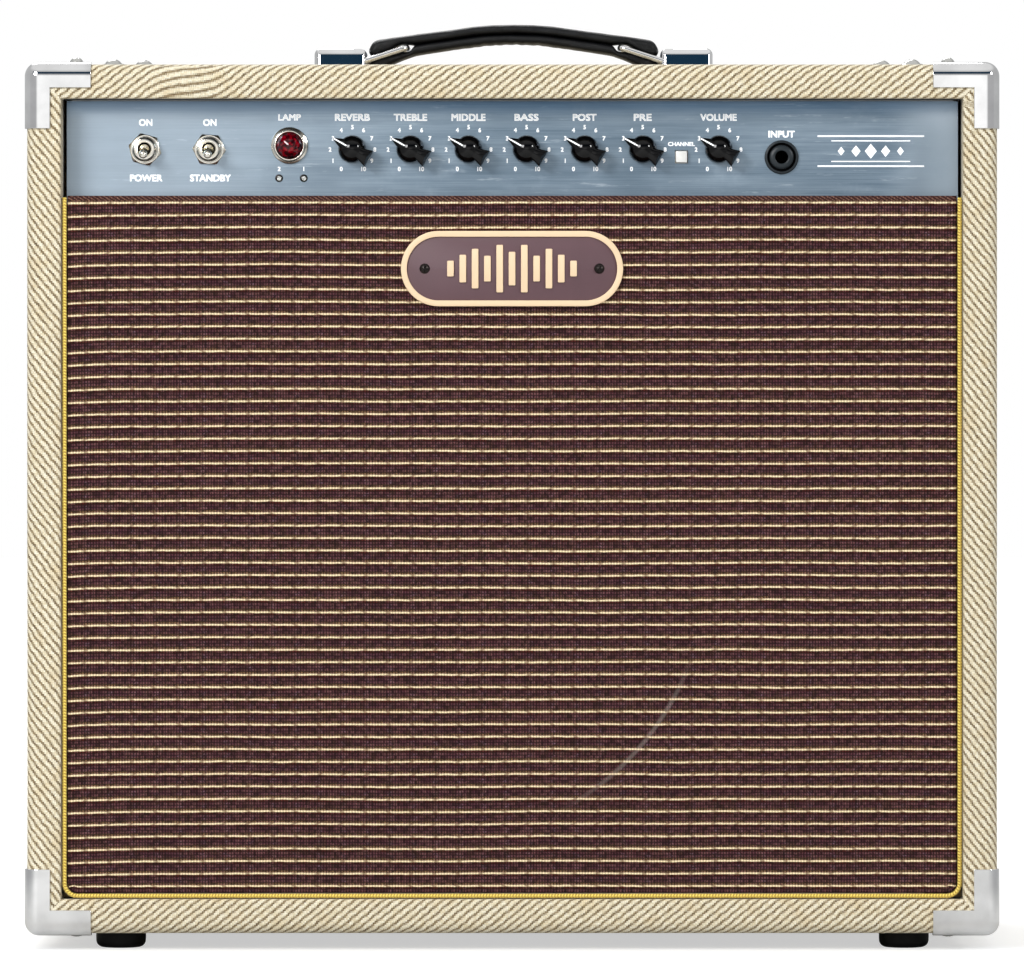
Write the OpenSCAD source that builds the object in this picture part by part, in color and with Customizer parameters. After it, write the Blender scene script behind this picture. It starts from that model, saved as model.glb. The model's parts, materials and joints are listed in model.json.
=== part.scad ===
// Valve guitar amplifier combo: a covered plywood cabinet with one 12 inch speaker, a recessed control
// panel across the top, a chassis that hangs from the top board, and a padded handle on two hinged links.
// Millimetres. X runs left to right, Y front to back, Z up. The origin is on the floor under the cabinet's centre.

/* [Cabinet] */
// Width over the covering
cab_w = 489; // [484:0.5:494]
// Height over the covering, without the feet
cab_h = 438; // [436:0.5:444]
// Depth over the covering
cab_d = 241; // [240:0.5:246]
// Thickness of the plywood boards
board_t = 15.8; // [15:0.1:16]
// Thickness of the tweed covering
cover_t = 0.8; // [0.6:0.1:1]
// Radius of the outer edges
edge_r = 6; // [5:0.5:7]
// Fingers in each corner joint
finger_n = 9; // [7:2:11]
// Height of the rubber feet
foot_h = 8.5; // [7:0.5:12]
// Diameter of the rubber feet
foot_d = 25.4; // [22:0.2:28]

/* [Corner protectors] */
// Sheet thickness
guard_t = 1.2; // [0.8:0.1:1.5]
// Reach of each arm from the corner
guard_reach = 32.5; // [30:0.5:36]
// Width of the arms on the front and the back
guard_arm = 12; // [10:0.5:14]

/* [Grille] */
// Recess of the cloth behind the cabinet's front
grille_recess = 4; // [3:0.5:5]
// Thickness of the baffle board
baffle_t = 15; // [14:0.5:16]
// Thickness of the grille cloth
cloth_t = 1; // [0.8:0.1:1.2]
// Diameter of the gold piping
piping_d = 2.4; // [2:0.1:2.6]
// Centreline radius of the piping's lower corners
piping_r = 6.5; // [5:0.5:8]
// Top of the grille above the cabinet's bottom
grille_top = 371.8; // [370:0.2:373]

/* [Control panel] */
// Recess of the panel behind the cabinet's front
panel_recess = 23; // [22.5:0.5:24]
// Thickness of the aluminium panel
panel_t = 1.6; // [1.2:0.1:2]
// Pitch of the six equally spaced knobs
knob_pitch = 29.4; // [28:0.1:30]
// Diameter of the knob's round base
knob_d = 14.2; // [13.6:0.1:14.8]
// Height of the knob
knob_h = 14; // [12:0.5:15]
// Tilt of a switch lever off the level
lever_tilt = 14; // [10:1:15]
// Travel of the channel button
button_travel = 2.5; // [2:0.1:2.6]

/* [Speaker] */
// Outer diameter of the basket
speaker_d = 309; // [300:1:311]
// Diameter of the hole in the baffle
cutout_d = 276; // [270:1:278]
// Diameter of the bolt circle
bolt_circle = 297; // [292:0.5:298]
// Outer diameter of the magnet
magnet_d = 154; // [140:1:156]

/* [Chassis] */
// Thickness of the folded steel
steel_t = 1.5; // [1.2:0.1:1.6]
// Bore radius of the phone jacks, for a 6.35 mm plug
jack_bore_r = 3.25; // [3.2:0.01:3.3]

/* [Handle] */
// Length of each end bracket
bracket_l = 27; // [25:0.5:30]
// Width of each end bracket, front to back
bracket_w = 34; // [33:0.5:36]
// Height of each end bracket
bracket_h = 12.5; // [12:0.5:14]
// Distance between the two link pivots
pivot_span = 159; // [158:0.5:162]
// Length of a link from pivot to bar
link_l = 25.5; // [25:0.5:27]
// Angle of a link at rest above the level
link_rest = 18; // [17:1:20]

/* [Hidden] */
$fn = 48;
eps = 0.01;
round_fn = 24;

// Cabinet planes
front_y = -cab_d / 2;
back_y = cab_d / 2;
bottom_z = foot_h;
top_z = foot_h + cab_h;
lining_t = board_t + 2 * cover_t;
open_x = cab_w / 2 - lining_t;
open_z0 = bottom_z + lining_t;
open_z1 = top_z - lining_t;
wood_w = cab_w - 2 * cover_t;
wood_d = cab_d - 2 * cover_t;
wood_in_x = wood_w / 2 - board_t;
wood_in_z0 = bottom_z + cover_t + board_t;
wood_in_z1 = top_z - cover_t - board_t;
finger_w = wood_d / finger_n;

// Grille and baffle
cloth_y = front_y + grille_recess;
baffle_y = cloth_y + cloth_t;
baffle_back_y = baffle_y + baffle_t;
piping_gap = 0.3;
piping_x = open_x - piping_gap - piping_d / 2;
piping_z = open_z0 + piping_gap + piping_d / 2;
piping_y = cloth_y - 0.3;
cloth_x = piping_x - piping_d / 2 - 0.2;
cloth_z0 = piping_z + piping_d / 2 + 0.2;
cloth_z1 = bottom_z + grille_top;
cloth_wrap = 12;
cloth_corner_r = piping_r - piping_d / 2 - 0.2;
flange_t = 0.6;
cleat_w = 19;

// Control panel
panel_y = front_y + panel_recess;
panel_back_y = panel_y + panel_t;
panel_x = open_x - 1.5;
panel_z0 = cloth_z1 - 4.3;
panel_z1 = open_z1 - 0.5;
control_z = bottom_z + 395.6;
knob_x0 = -81;
volume_x = 104.4;
knob_x = [for (i = [0:5]) knob_x0 + i * knob_pitch, volume_x];
power_x = -186;
standby_x = -153.5;
jewel_x = -112.8;
jewel_z = bottom_z + 397.6;
led_x = [-118.1, -105.6];
led_z = bottom_z + 381.1;
led_r = 1.8;
button_x = 85.6;
button_z = bottom_z + 391.9;
button_w = 5.8;
button_hole = 6.6;
button_out = 3.2;
jack_x = 136.3;
jack_z = bottom_z + 391.7;
jack_body = 16;
jack_bushing_r = 5.8;
jack_nut_r = 8.6;
jack_collar = 3;
jack_depth = 31;
pot_r = 8.5;
pot_l = 9;
bushing_r = 3.5;
shaft_r = 3;
shaft_gap = 0.05;
pot_nut_t = 2;
knob_gap = 0.6;
knob_rest_deg = 60;
toggle_bushing_r = 5.95;
toggle_nut_af = 14.3;
toggle_nut_t = 2.4;
toggle_out = 9;
toggle_bore_r = 3.2;
lever_pivot_y = panel_y - 6.5;
lever_pin_r = 0.8;
jewel_r = 6.35;
bezel_r = 9.35;

// Chassis
chassis_x = 223;
chassis_y0 = panel_back_y;
chassis_y1 = 96;
chassis_z0 = bottom_z + 365.5;
chassis_z1 = wood_in_z1;
chassis_in_y = chassis_y0 + steel_t;
chassis_back_in_y = chassis_y1 - steel_t;
chassis_flange = 42;
chassis_bolt_x = 203;
extra_bolt_x = 188;
top_bolt_at = [[chassis_bolt_x, front_y + 40], [chassis_bolt_x, 80], [extra_bolt_x, front_y + 52]];
rear_jack_x = [-60, -30, 0, 30, 60];
rear_jack_z = bottom_z + 393;
inlet_x = 160;
inlet_w = 27;
inlet_h = 20;
inlet_l = 26;
tube_y = 58;
preamp_x = [-20, 25, 70];
power_tube_x = [-120, -75];
socket_h = 7;
tube_r = 11.1;
lead_grommet = [-145, 50];

// Fasteners
screw_r = 1.75;
screw_head_r = 3.5;
screw_head_h = 2.8;
bolt_r = 2.5;
guard_screw_along = 24.6;
guard_screw_in = 11;
foot_x = 198.5;
foot_y = cab_d / 2 - 30;
badge_screw_x = 44;

// Back
back_panel_t = 9;
back_inset = 1;
back_panel_y0 = back_y - back_inset - back_panel_t;
back_panel_x = open_x - 1;
upper_panel_z = [bottom_z + 242, chassis_z0 - 3];
lower_panel_z = [open_z0 + 1, bottom_z + 142];
vent_x = 130;
vent_z = [upper_panel_z[0] + 34, upper_panel_z[1] - 24];
panel_screw_inset = 10;

// Speaker, on an axis along Y
speaker_x = -40;
speaker_z = bottom_z + 184.2;
flange_z = 3;
basket_depth = 62;
bowl_r0 = speaker_d / 2 - 13.5;
seat_r = 72;
coil_r = 22.6;
coil_t = 0.5;
pole_r = 21.3;
cone_r = 124;
cone_z0 = 6;
cone_z1 = 50;
plate_t = 8;
magnet_t = 20;
plate_r = 60;
plate_z = basket_depth + steel_t;

// Badge
badge_w = 112;
badge_h = 38;
badge_z = bottom_z + 335;
badge_t = 1.6;
badge_raise = 1;
badge_y = cloth_y - badge_t;

// Handle
pivot_x = pivot_span / 2;
pivot_z = top_z + 5;
bracket_x0 = pivot_x - 3.6;
bracket_wall = 1.5;
bracket_floor = 2;
handle_bolt_x = bracket_x0 + bracket_l * 0.68;
wire_r = 1.5;
wire_half_w = 13.5;
wire_slot_w = 2 * wire_r + 0.8;
grip_w = 23.4;
grip_crown = 25;
grip_under = 15.2;
grip_arch_r = 303;
grip_under_k = 0.00322;
grip_end_x = 67;
grip_outer_x = pivot_x - 4.4;
bar_x = pivot_x - link_l * cos(link_rest);
bar_z = link_l * sin(link_rest) + 5;

// ---- Helpers ----

// A block with every edge rounded, centred in X and Y and standing on z 0
module rounded_block(w, d, h, r) {
    translate([0, 0, h / 2]) hull() {
        cube([w, d - 2 * r, h - 2 * r], center = true);
        cube([w - 2 * r, d, h - 2 * r], center = true);
        cube([w - 2 * r, d - 2 * r, h], center = true);
        for (x = [-1, 1], y = [-1, 1], z = [-1, 1])
            translate([x * (w / 2 - r), y * (d / 2 - r), z * (h / 2 - r)]) sphere(r, $fn = round_fn);
    }
}

// Children drawn in the XZ plane and extruded towards the front from the plane y
module facing_front(y) {
    translate([0, y, 0]) rotate([90, 0, 0]) children();
}

// A cylinder along Y from y0 to y1, centred at x, z
module rod_y(x, z, r, y0, y1, r2 = -1) {
    translate([x, y0, z]) rotate([-90, 0, 0]) cylinder(h = y1 - y0, r1 = r, r2 = r2 < 0 ? r : r2);
}

// A box between two corners
module box(a, b) {
    translate(a) cube(b - a);
}

// The child and its mirror image across the plane x 0
module both_sides() {
    children();
    mirror([1, 0, 0]) children();
}

// Local z runs backwards along the speaker's axis, from the baffle's back face
module at_speaker() {
    translate([speaker_x, baffle_back_y, speaker_z]) rotate([-90, 0, 0]) children();
}

// A flat ring
module ring(r_out, r_in, h) {
    difference() {
        cylinder(h = h, r = r_out);
        translate([0, 0, -1]) cylinder(h = h + 2, r = r_in);
    }
}

// A domed screw head on the plane z 0
module screw_head(r, h) {
    rotate_extrude() intersection() {
        translate([0, h - (r * r + h * h) / (2 * h)]) circle(r = (r * r + h * h) / (2 * h), $fn = 96);
        square([r, h]);
    }
}

// A hexagonal nut with a round hole, on the plane z 0
module hex_nut(across_flats, h, hole_r) {
    difference() {
        cylinder(h = h, r = across_flats / sqrt(3), $fn = 6);
        translate([0, 0, -1]) cylinder(h = h + 2, r = hole_r);
    }
}

// ---- Cabinet ----

// A rectangle with rounded corners, centred
module rounded_rect(w, h, r) {
    square([w - 2 * r, h], center = true);
    square([w, h - 2 * r], center = true);
    for (x = [-1, 1], y = [-1, 1]) translate([x * (w / 2 - r), y * (h / 2 - r)]) circle(r = r);
}

// The cabinet's outline grown by g, rounded about all three axes
module cab_block(g) {
    w = cab_w + 2 * g;
    d = cab_d + 2 * g;
    h = cab_h + 2 * g;
    translate([0, 0, bottom_z + cab_h / 2]) intersection() {
        linear_extrude(h, center = true) rounded_rect(w, d, edge_r + g);
        rotate([90, 0, 0]) linear_extrude(d, center = true) rounded_rect(w, h, edge_r + g);
        rotate([0, 90, 0]) linear_extrude(w, center = true) rounded_rect(h, d, edge_r + g);
    }
}

module wood_outline() { cab_block(-cover_t); }

module covering_outline() { cab_block(0); }

// Shanks of the bolts that hang the chassis and hold the handle, through the top board
module top_bolt_holes() {
    for (x = [-1, 1]) {
        for (p = top_bolt_at)
            translate([x * p[0], p[1], chassis_z1 - steel_t - 1]) cylinder(h = 30, r = bolt_r);
        translate([x * handle_bolt_x, 0, chassis_z1 - 1]) cylinder(h = 30, r = bolt_r);
    }
}

// Places its child at each protector screw, with local z pointing out of the cabinet
module each_guard_screw() {
    for (x = [-1, 1], y = [-1, 1], z = [-1, 1]) {
        translate([x * (cab_w / 2 - guard_screw_along), y * (cab_d / 2 - guard_screw_in),
                   z > 0 ? top_z : bottom_z]) rotate([z > 0 ? 0 : 180, 0, 0]) children();
        translate([x * cab_w / 2, y * (cab_d / 2 - guard_screw_along),
                   z > 0 ? top_z - guard_screw_in : bottom_z + guard_screw_in])
            rotate([0, x * 90, 0]) children();
    }
}

module guard_screw_holes() {
    each_guard_screw() translate([0, 0, -14]) cylinder(h = 18, r = screw_r);
}

module each_foot() {
    for (x = [-1, 1], y = [-1, 1]) translate([x * foot_x, y * foot_y, 0]) children();
}

module foot_screw_holes() {
    each_foot() translate([0, 0, 4]) cylinder(h = bottom_z + 8, r = screw_r);
}

// Alternate fingers along the depth, in the corner square of one joint
module fingers(first, x, z) {
    for (i = [first:2:finger_n - 1])
        translate([x, -wood_d / 2 + i * finger_w, z]) cube([board_t, finger_w, board_t]);
}

module side_board(side) {
    x = side > 0 ? wood_in_x : -wood_w / 2;
    color("burlywood") difference() {
        intersection() {
            wood_outline();
            union() {
                box([x, -wood_d / 2, wood_in_z0], [x + board_t, wood_d / 2, wood_in_z1]);
                fingers(0, x, wood_in_z0 - board_t);
                fingers(0, x, wood_in_z1);
            }
        }
        guard_screw_holes();
    }
}

module level_board(z) {
    intersection() {
        wood_outline();
        union() {
            box([-wood_in_x, -wood_d / 2, z], [wood_in_x, wood_d / 2, z + board_t]);
            fingers(1, wood_in_x, z);
            fingers(1, -wood_w / 2, z);
        }
    }
}

module side_board_left() { side_board(-1); }

module side_board_right() { side_board(1); }

module top_board() {
    color("burlywood") difference() {
        level_board(wood_in_z1);
        top_bolt_holes();
        guard_screw_holes();
    }
}

module bottom_board() {
    color("burlywood") difference() {
        level_board(wood_in_z0 - board_t);
        guard_screw_holes();
        foot_screw_holes();
    }
}

module tweed_covering() {
    color("wheat") difference() {
        covering_outline();
        difference() {
            wood_outline();
            box([-open_x, -cab_d, open_z0], [open_x, cab_d, open_z1]);
            box([-wood_in_x, -cab_d, wood_in_z0], [wood_in_x, baffle_back_y, wood_in_z1]);
            box([-wood_in_x, -cab_d, cloth_z1], [wood_in_x, panel_y, wood_in_z1]);
            box([-wood_in_x, back_panel_y0, wood_in_z0], [wood_in_x, cab_d, wood_in_z1]);
        }
        box([-open_x, -cab_d, open_z0], [open_x, cab_d, open_z1]);
        box([-wood_in_x, baffle_back_y, wood_in_z0], [wood_in_x, back_panel_y0, cloth_z1]);
        box([-wood_in_x, panel_y, cloth_z1 - 1], [wood_in_x, back_panel_y0, wood_in_z1]);
        top_bolt_holes();
        guard_screw_holes();
        foot_screw_holes();
    }
}

// The front arms' L, and the chamfered patch on the top and the side, in local coordinates from the corner
function patch_points(r) = [[-2, -2], [r, -2], [r, 9], [9, r], [-2, r]];

// Everything the protector at the front, top, right corner covers, as a cutter
module guard_region() {
    x = cab_w / 2 + guard_t;
    y = front_y - guard_t;
    z = top_z + guard_t;
    r = guard_reach + guard_t;
    arm = guard_arm + guard_t;
    deep = edge_r + guard_t + 0.5;
    box([x - r, y - 1, z - arm], [x + 1, y + deep, z + 1]);
    box([x - arm, y - 1, z - r], [x + 1, y + deep, z - arm + 1]);
    translate([x, y, z - arm + 3]) mirror([1, 0, 0]) linear_extrude(arm) polygon(patch_points(r));
    translate([x - arm + 3, y, z]) rotate([0, 90, 0]) linear_extrude(arm) polygon(patch_points(r));
}

module corner_protectors() {
    mid_z = (top_z + bottom_z) / 2;
    color("silver") difference() {
        intersection() {
            difference() {
                cab_block(guard_t);
                cab_block(0);
            }
            for (a = [0, 1], b = [0, 1], c = [0, 1])
                mirror([a, 0, 0]) mirror([0, b, 0])
                    translate([0, 0, mid_z]) mirror([0, 0, c]) translate([0, 0, -mid_z]) guard_region();
        }
        guard_screw_holes();
    }
}

module wood_screws() {
    color("gainsboro") {
        each_guard_screw() union() {
            translate([0, 0, guard_t]) screw_head(screw_head_r, screw_head_h);
            translate([0, 0, -14]) cylinder(h = 14 + guard_t, r = screw_r);
        }
        each_foot() union() {
            translate([0, 0, 2.5]) cylinder(h = 1.5, r = 4);
            translate([0, 0, 4]) cylinder(h = bottom_z + 8, r = screw_r);
        }
        for (x = [-1, 1]) {
            for (z = concat([for (e = [0, 1]) upper_panel_z[e] + (e == 0 ? 1 : -1) * panel_screw_inset * 1.4],
                            [for (e = [0, 1]) lower_panel_z[e] + (e == 0 ? 1 : -1) * panel_screw_inset * 1.4]))
                translate([x * (wood_in_x - cleat_w / 2), 0, z]) back_screw();
        }
    }
}

// A countersunk wood screw in a cup washer, through a back panel into its cleat
module back_screw() {
    translate([0, back_panel_y0 + back_panel_t, 0]) rotate([-90, 0, 0]) union() {
        cylinder(h = 1.4, r1 = 5, r2 = 3.6);
        translate([0, 0, -back_panel_t - 10]) cylinder(h = back_panel_t + 11, r = screw_r);
    }
}

module feet() {
    color("black") each_foot() difference() {
        rotate_extrude() difference() {
            union() {
                square([foot_d / 2 - 3, foot_h]);
                translate([0, 3]) square([foot_d / 2, foot_h - 3]);
                translate([foot_d / 2 - 3, 3]) circle(r = 3);
            }
            square([5.5, 2.5]);
            square([4, 4]);
            square([screw_r, foot_h + 1]);
            translate([-foot_d, -1]) square([foot_d, foot_h + 2]);
        }
    }
}

// ---- Grille and baffle ----

// A plate outline in XZ with rounded lower corners
module grille_outline(x, z0, z1, r) {
    translate([-x, z0 + r]) square([2 * x, z1 - z0 - r]);
    translate([-x + r, z0]) square([2 * (x - r), r + eps]);
    for (s = [-1, 1]) translate([s * (x - r), z0 + r]) circle(r = r);
}

module speaker_bolt_positions() {
    for (a = [45:90:315]) rotate([0, 0, a]) translate([bolt_circle / 2, 0, 0]) children();
}

module baffle_board() {
    color("saddlebrown") difference() {
        facing_front(baffle_back_y) linear_extrude(baffle_t)
            grille_outline(cloth_x - cloth_t, cloth_z0 + cloth_t, cloth_z1 - cloth_t, cloth_corner_r - cloth_t);
        at_speaker() translate([0, 0, -baffle_t - 1]) cylinder(h = baffle_t + 2, d = cutout_d, $fn = 120);
        at_speaker() speaker_bolt_positions() translate([0, 0, -12]) cylinder(h = 13, r = bolt_r);
    }
}

module grille_cloth() {
    color("rosybrown") difference() {
        facing_front(baffle_y + cloth_wrap) linear_extrude(cloth_wrap + cloth_t)
            grille_outline(cloth_x, cloth_z0, cloth_z1, cloth_corner_r);
        facing_front(baffle_back_y + 1) linear_extrude(baffle_t + 1)
            grille_outline(cloth_x - cloth_t, cloth_z0 + cloth_t, cloth_z1 - cloth_t, cloth_corner_r - cloth_t);
        for (x = [-1, 1]) rod_y(x * badge_screw_x, badge_z, 1.2, cloth_y - 1, baffle_y + 1);
    }
}

module piping_leg(side) {
    translate([side * piping_x, piping_y, piping_z + piping_r])
        cylinder(h = cloth_z1 - piping_z - piping_r - 1, r = piping_d / 2);
}

module grille_piping() {
    run = piping_x - piping_r;
    color("goldenrod") {
        piping_leg(-1);
        piping_leg(1);
        translate([-run, piping_y, piping_z]) rotate([0, 90, 0]) cylinder(h = 2 * run, r = piping_d / 2);
        for (s = [0, 1]) mirror([s, 0, 0])
            translate([run, piping_y, piping_z + piping_r]) rotate([90, 0, 0])
                rotate_extrude(angle = -90) translate([piping_r, 0]) circle(d = piping_d, $fn = 32);
    }
}

module cleats() {
    color("tan") both_sides() {
        box([wood_in_x - cleat_w, baffle_back_y, wood_in_z0], [wood_in_x, baffle_back_y + cleat_w, chassis_z0 - 2]);
        difference() {
            box([wood_in_x - cleat_w, back_panel_y0 - cleat_w, wood_in_z0],
                [wood_in_x, back_panel_y0, chassis_z0 - 2]);
            for (z = [upper_panel_z[0] + 1.4 * panel_screw_inset, upper_panel_z[1] - 1.4 * panel_screw_inset,
                      lower_panel_z[0] + 1.4 * panel_screw_inset, lower_panel_z[1] - 1.4 * panel_screw_inset])
                rod_y(wood_in_x - cleat_w / 2, z, screw_r, back_panel_y0 - 10, back_y);
        }
    }
}

// A flat bar with round ends, w long over all
module stadium(w, h) {
    hull() for (s = [-1, 1]) translate([s * (w - h) / 2, 0]) circle(d = h);
}

bar_heights = [8, 14, 20, 13, 24, 17, 24, 13, 20, 14, 8];
bar_pitch = 6.2;
bar_w = 3.4;

module badge_plate() {
    color("plum") difference() {
        translate([0, 0, badge_z]) facing_front(cloth_y) union() {
            linear_extrude(badge_t) stadium(badge_w, badge_h);
            linear_extrude(badge_t + badge_raise) difference() {
                stadium(badge_w, badge_h);
                stadium(badge_w - 6, badge_h - 6);
            }
            for (i = [0:len(bar_heights) - 1])
                translate([(i - (len(bar_heights) - 1) / 2) * bar_pitch - bar_w / 2, -bar_heights[i] / 2, 0])
                    cube([bar_w, bar_heights[i], badge_t + badge_raise]);
        }
        for (x = [-1, 1]) rod_y(x * badge_screw_x, badge_z, 1.2, cloth_y - 5, cloth_y + 1);
    }
}

module badge_screws() {
    color("dimgray") for (x = [-1, 1]) translate([x * badge_screw_x, 0, badge_z]) union() {
        facing_front(cloth_y - badge_t) screw_head(2.6, 1.8);
        rod_y(0, 0, 1.2, cloth_y - badge_t, baffle_y);
    }
}

// ---- Speaker ----

module speaker_gasket() {
    color("peru") at_speaker() difference() {
        ring(speaker_d / 2, cutout_d / 2 + 1, flange_z);
        speaker_bolt_positions() translate([0, 0, -1]) cylinder(h = flange_z + 2, r = bolt_r);
    }
}

bowl_slope = (bowl_r0 - seat_r) / (basket_depth - flange_z);
function bowl_r(z) = bowl_r0 - (z - flange_z) * bowl_slope;
spider_z = 52;
ledge_z = 8;

module speaker_basket() {
    window_n = 8;
    color("slategray") at_speaker() difference() {
        union() {
            rotate_extrude() polygon([
                [speaker_d / 2, flange_z], [speaker_d / 2, flange_z + steel_t], [bowl_r0 + 1, flange_z + steel_t],
                [bowl_r(ledge_z) + 1, ledge_z + steel_t], [seat_r + 1, basket_depth + steel_t],
                [31, basket_depth + steel_t], [31, basket_depth], [seat_r - 1, basket_depth],
                [bowl_r(spider_z + 3) - 1, spider_z + 3], [bowl_r(spider_z + 3) - 7, spider_z + 3],
                [bowl_r(spider_z + 3) - 7, spider_z + 1.5], [bowl_r(spider_z + 1.5) - 1, spider_z + 1.5],
                [bowl_r(ledge_z) - 1, ledge_z + steel_t], [bowl_r(ledge_z) - 6, ledge_z + steel_t],
                [bowl_r(ledge_z) - 6, ledge_z], [bowl_r(ledge_z) + 0.5, ledge_z], [bowl_r0 + 0.5, flange_z]
            ]);
        }
        for (i = [0:window_n - 1]) rotate([0, 0, (i + 0.5) * 360 / window_n])
            translate([0, 0, 16]) linear_extrude(spider_z - 20)
                polygon([[86, -22], [140, -38], [140, 38], [86, 22]]);
        speaker_bolt_positions() translate([0, 0, -1]) cylinder(h = 10, r = bolt_r);
    }
}

module speaker_magnet() {
    color("dimgray") at_speaker() translate([0, 0, plate_z + plate_t]) ring(magnet_d / 2, 30, magnet_t);
}

// The front plate, and the back plate with its pole piece
module speaker_yoke() {
    color("silver") at_speaker() {
        translate([0, 0, plate_z]) ring(plate_r, coil_r + 0.8, plate_t);
        union() {
            translate([0, 0, plate_z + plate_t + magnet_t]) cylinder(h = plate_t, r = plate_r);
            translate([0, 0, plate_z]) cylinder(h = plate_t + magnet_t + eps, r = pole_r);
        }
    }
}

// Points along a wavy disc from radius a to b, as a closed strip of thickness t
function wavy_strip(a, b, z, waves, amp, t, steps) = concat(
    [for (i = [0:steps]) [a + (b - a) * i / steps, z + amp * sin(360 * waves * i / steps)]],
    [for (i = [steps:-1:0]) [a + (b - a) * i / steps, z + t + amp * sin(360 * waves * i / steps)]]
);

module speaker_surround() {
    color("dimgray") at_speaker() rotate_extrude()
        polygon(wavy_strip(cone_r + 0.2, bowl_r(ledge_z) - 1.2, ledge_z - 2.4, 2, 0.9, 0.8, 16));
}

module speaker_spider() {
    color("khaki") at_speaker() rotate_extrude()
        polygon(wavy_strip(coil_r + 0.2, bowl_r(spider_z + 3) - 1.5, spider_z, 5, 1, 0.6, 30));
}

module speaker_cone() {
    color("darkslategray") at_speaker() rotate_extrude() polygon([
        [cone_r, cone_z0], [cone_r, cone_z0 + 1], [coil_r, cone_z1 + 1], [coil_r, cone_z1],
        [60, 30.5], [95, 16.5]
    ]);
}

module dust_cap() {
    cap_r = 30;
    cap_h = 9;
    cap_z = 42.6;
    sphere_r = (cap_r * cap_r + cap_h * cap_h) / (2 * cap_h);
    arc = asin(cap_r / sphere_r);
    color("black") at_speaker() translate([0, 0, cap_z]) rotate_extrude() polygon(concat(
        [for (i = [0:8]) [sphere_r * sin(arc * i / 8), sphere_r - cap_h - sphere_r * cos(arc * i / 8)]],
        [for (i = [8:-1:0]) [sphere_r * sin(arc * i / 8), sphere_r - cap_h + 0.8 - sphere_r * cos(arc * i / 8)]]
    ));
}

module voice_coil() {
    color("orange") at_speaker() translate([0, 0, cone_z1 - 2]) ring(coil_r, coil_r - coil_t, 28);
}

module speaker_bolts() {
    color("gainsboro") at_speaker() speaker_bolt_positions() union() {
        translate([0, 0, -12]) cylinder(h = 12 + flange_z + steel_t + eps, r = bolt_r);
        translate([0, 0, flange_z + steel_t]) cylinder(h = 3.5, r = 4.6, $fn = 6);
    }
}

// ---- Chassis and control panel ----

// Every hole that goes through the control panel and the chassis front
module front_holes() {
    y0 = panel_y - 1;
    y1 = chassis_in_y + 1;
    for (x = knob_x) rod_y(x, control_z, bushing_r, y0, y1);
    for (x = [power_x, standby_x]) rod_y(x, control_z, toggle_bushing_r, y0, y1);
    rod_y(jewel_x, jewel_z, jewel_r + 1.5, y0, y1);
    for (x = led_x) rod_y(x, led_z, led_r + 0.2, y0, y1);
    rod_y(jack_x, jack_z, jack_bushing_r, y0, y1);
    box([button_x - button_hole / 2, y0, button_z - button_hole / 2],
        [button_x + button_hole / 2, y1, button_z + button_hole / 2]);
}

module chassis() {
    color("lightsteelblue") difference() {
        box([-chassis_x, chassis_y0, chassis_z0], [chassis_x, chassis_y1, chassis_z1]);
        box([-chassis_x + steel_t, chassis_in_y, chassis_z0 + steel_t],
            [chassis_x - steel_t, chassis_back_in_y, chassis_z1 - steel_t]);
        box([-chassis_x + chassis_flange, chassis_in_y, chassis_z1 - 2 * steel_t],
            [chassis_x - chassis_flange, chassis_back_in_y, chassis_z1 + 1]);
        front_holes();
        top_bolt_holes();
        for (x = rear_jack_x) rod_y(x, rear_jack_z, jack_bushing_r, chassis_back_in_y - 1, chassis_y1 + 1);
        box([inlet_x - inlet_w / 2, chassis_back_in_y - 1, rear_jack_z - inlet_h / 2],
            [inlet_x + inlet_w / 2, chassis_y1 + 1, rear_jack_z + inlet_h / 2]);
        for (x = concat(preamp_x, power_tube_x))
            translate([x, tube_y, chassis_z0 - 1]) cylinder(h = 4, r = 9);
        translate([lead_grommet[0], lead_grommet[1], chassis_z0 - 1]) cylinder(h = 4, r = 4);
    }
}

module top_bolts() {
    cup_r = 7;
    nut_h = 4;
    color("gainsboro") {
        for (x = [-1, 1], p = top_bolt_at) translate([x * p[0], p[1], 0]) union() {
            translate([0, 0, top_z]) cylinder(h = 1.6, r1 = cup_r, r2 = cup_r - 1.6);
            translate([0, 0, top_z + 1.6]) screw_head(4.6, 2.8);
            translate([0, 0, chassis_z1 - steel_t]) cylinder(h = top_z - chassis_z1 + steel_t, r = bolt_r);
            translate([0, 0, chassis_z1 - steel_t - nut_h]) cylinder(h = nut_h, r = 4.6, $fn = 6);
        }
        for (x = [-1, 1]) translate([x * handle_bolt_x, 0, 0]) union() {
            translate([0, 0, top_z + bracket_floor]) screw_head(4.6, 2.8);
            translate([0, 0, chassis_z1]) cylinder(h = top_z - chassis_z1 + bracket_floor, r = bolt_r);
            translate([0, 0, chassis_z1 - nut_h]) cylinder(h = nut_h, r = 4.6, $fn = 6);
        }
    }
}

module control_panel() {
    color("lightgray") difference() {
        box([-panel_x, panel_y, panel_z0], [panel_x, panel_back_y, panel_z1]);
        front_holes();
    }
}

// One potentiometer with its bushing, and its nut as a separate solid
module pot(x) {
    difference() {
        union() {
            rod_y(x, control_z, pot_r, chassis_in_y, chassis_in_y + pot_l);
            rod_y(x, control_z, bushing_r, panel_y - 4.5, chassis_in_y + 1);
        }
        rod_y(x, control_z, shaft_r + shaft_gap, panel_y - 6, chassis_in_y + 3);
    }
    translate([x, 0, control_z]) facing_front(panel_y) hex_nut(10, pot_nut_t, bushing_r);
}

module pot_bodies() {
    color("goldenrod") for (x = knob_x) pot(x);
}

// Outline of a pointer knob seen from the front, pointing up
function pointer_points() = [
    [0.4, 11], [2.3, 5.6], [3.3, 1.5], [3.1, -3], [3.5, -6.6], [4.5, -9.9],
    [0, -8.9],
    [-4.5, -9.9], [-3.5, -6.6], [-3.1, -3], [-3.3, 1.5], [-2.3, 5.6], [-0.4, 11]
];

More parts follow.
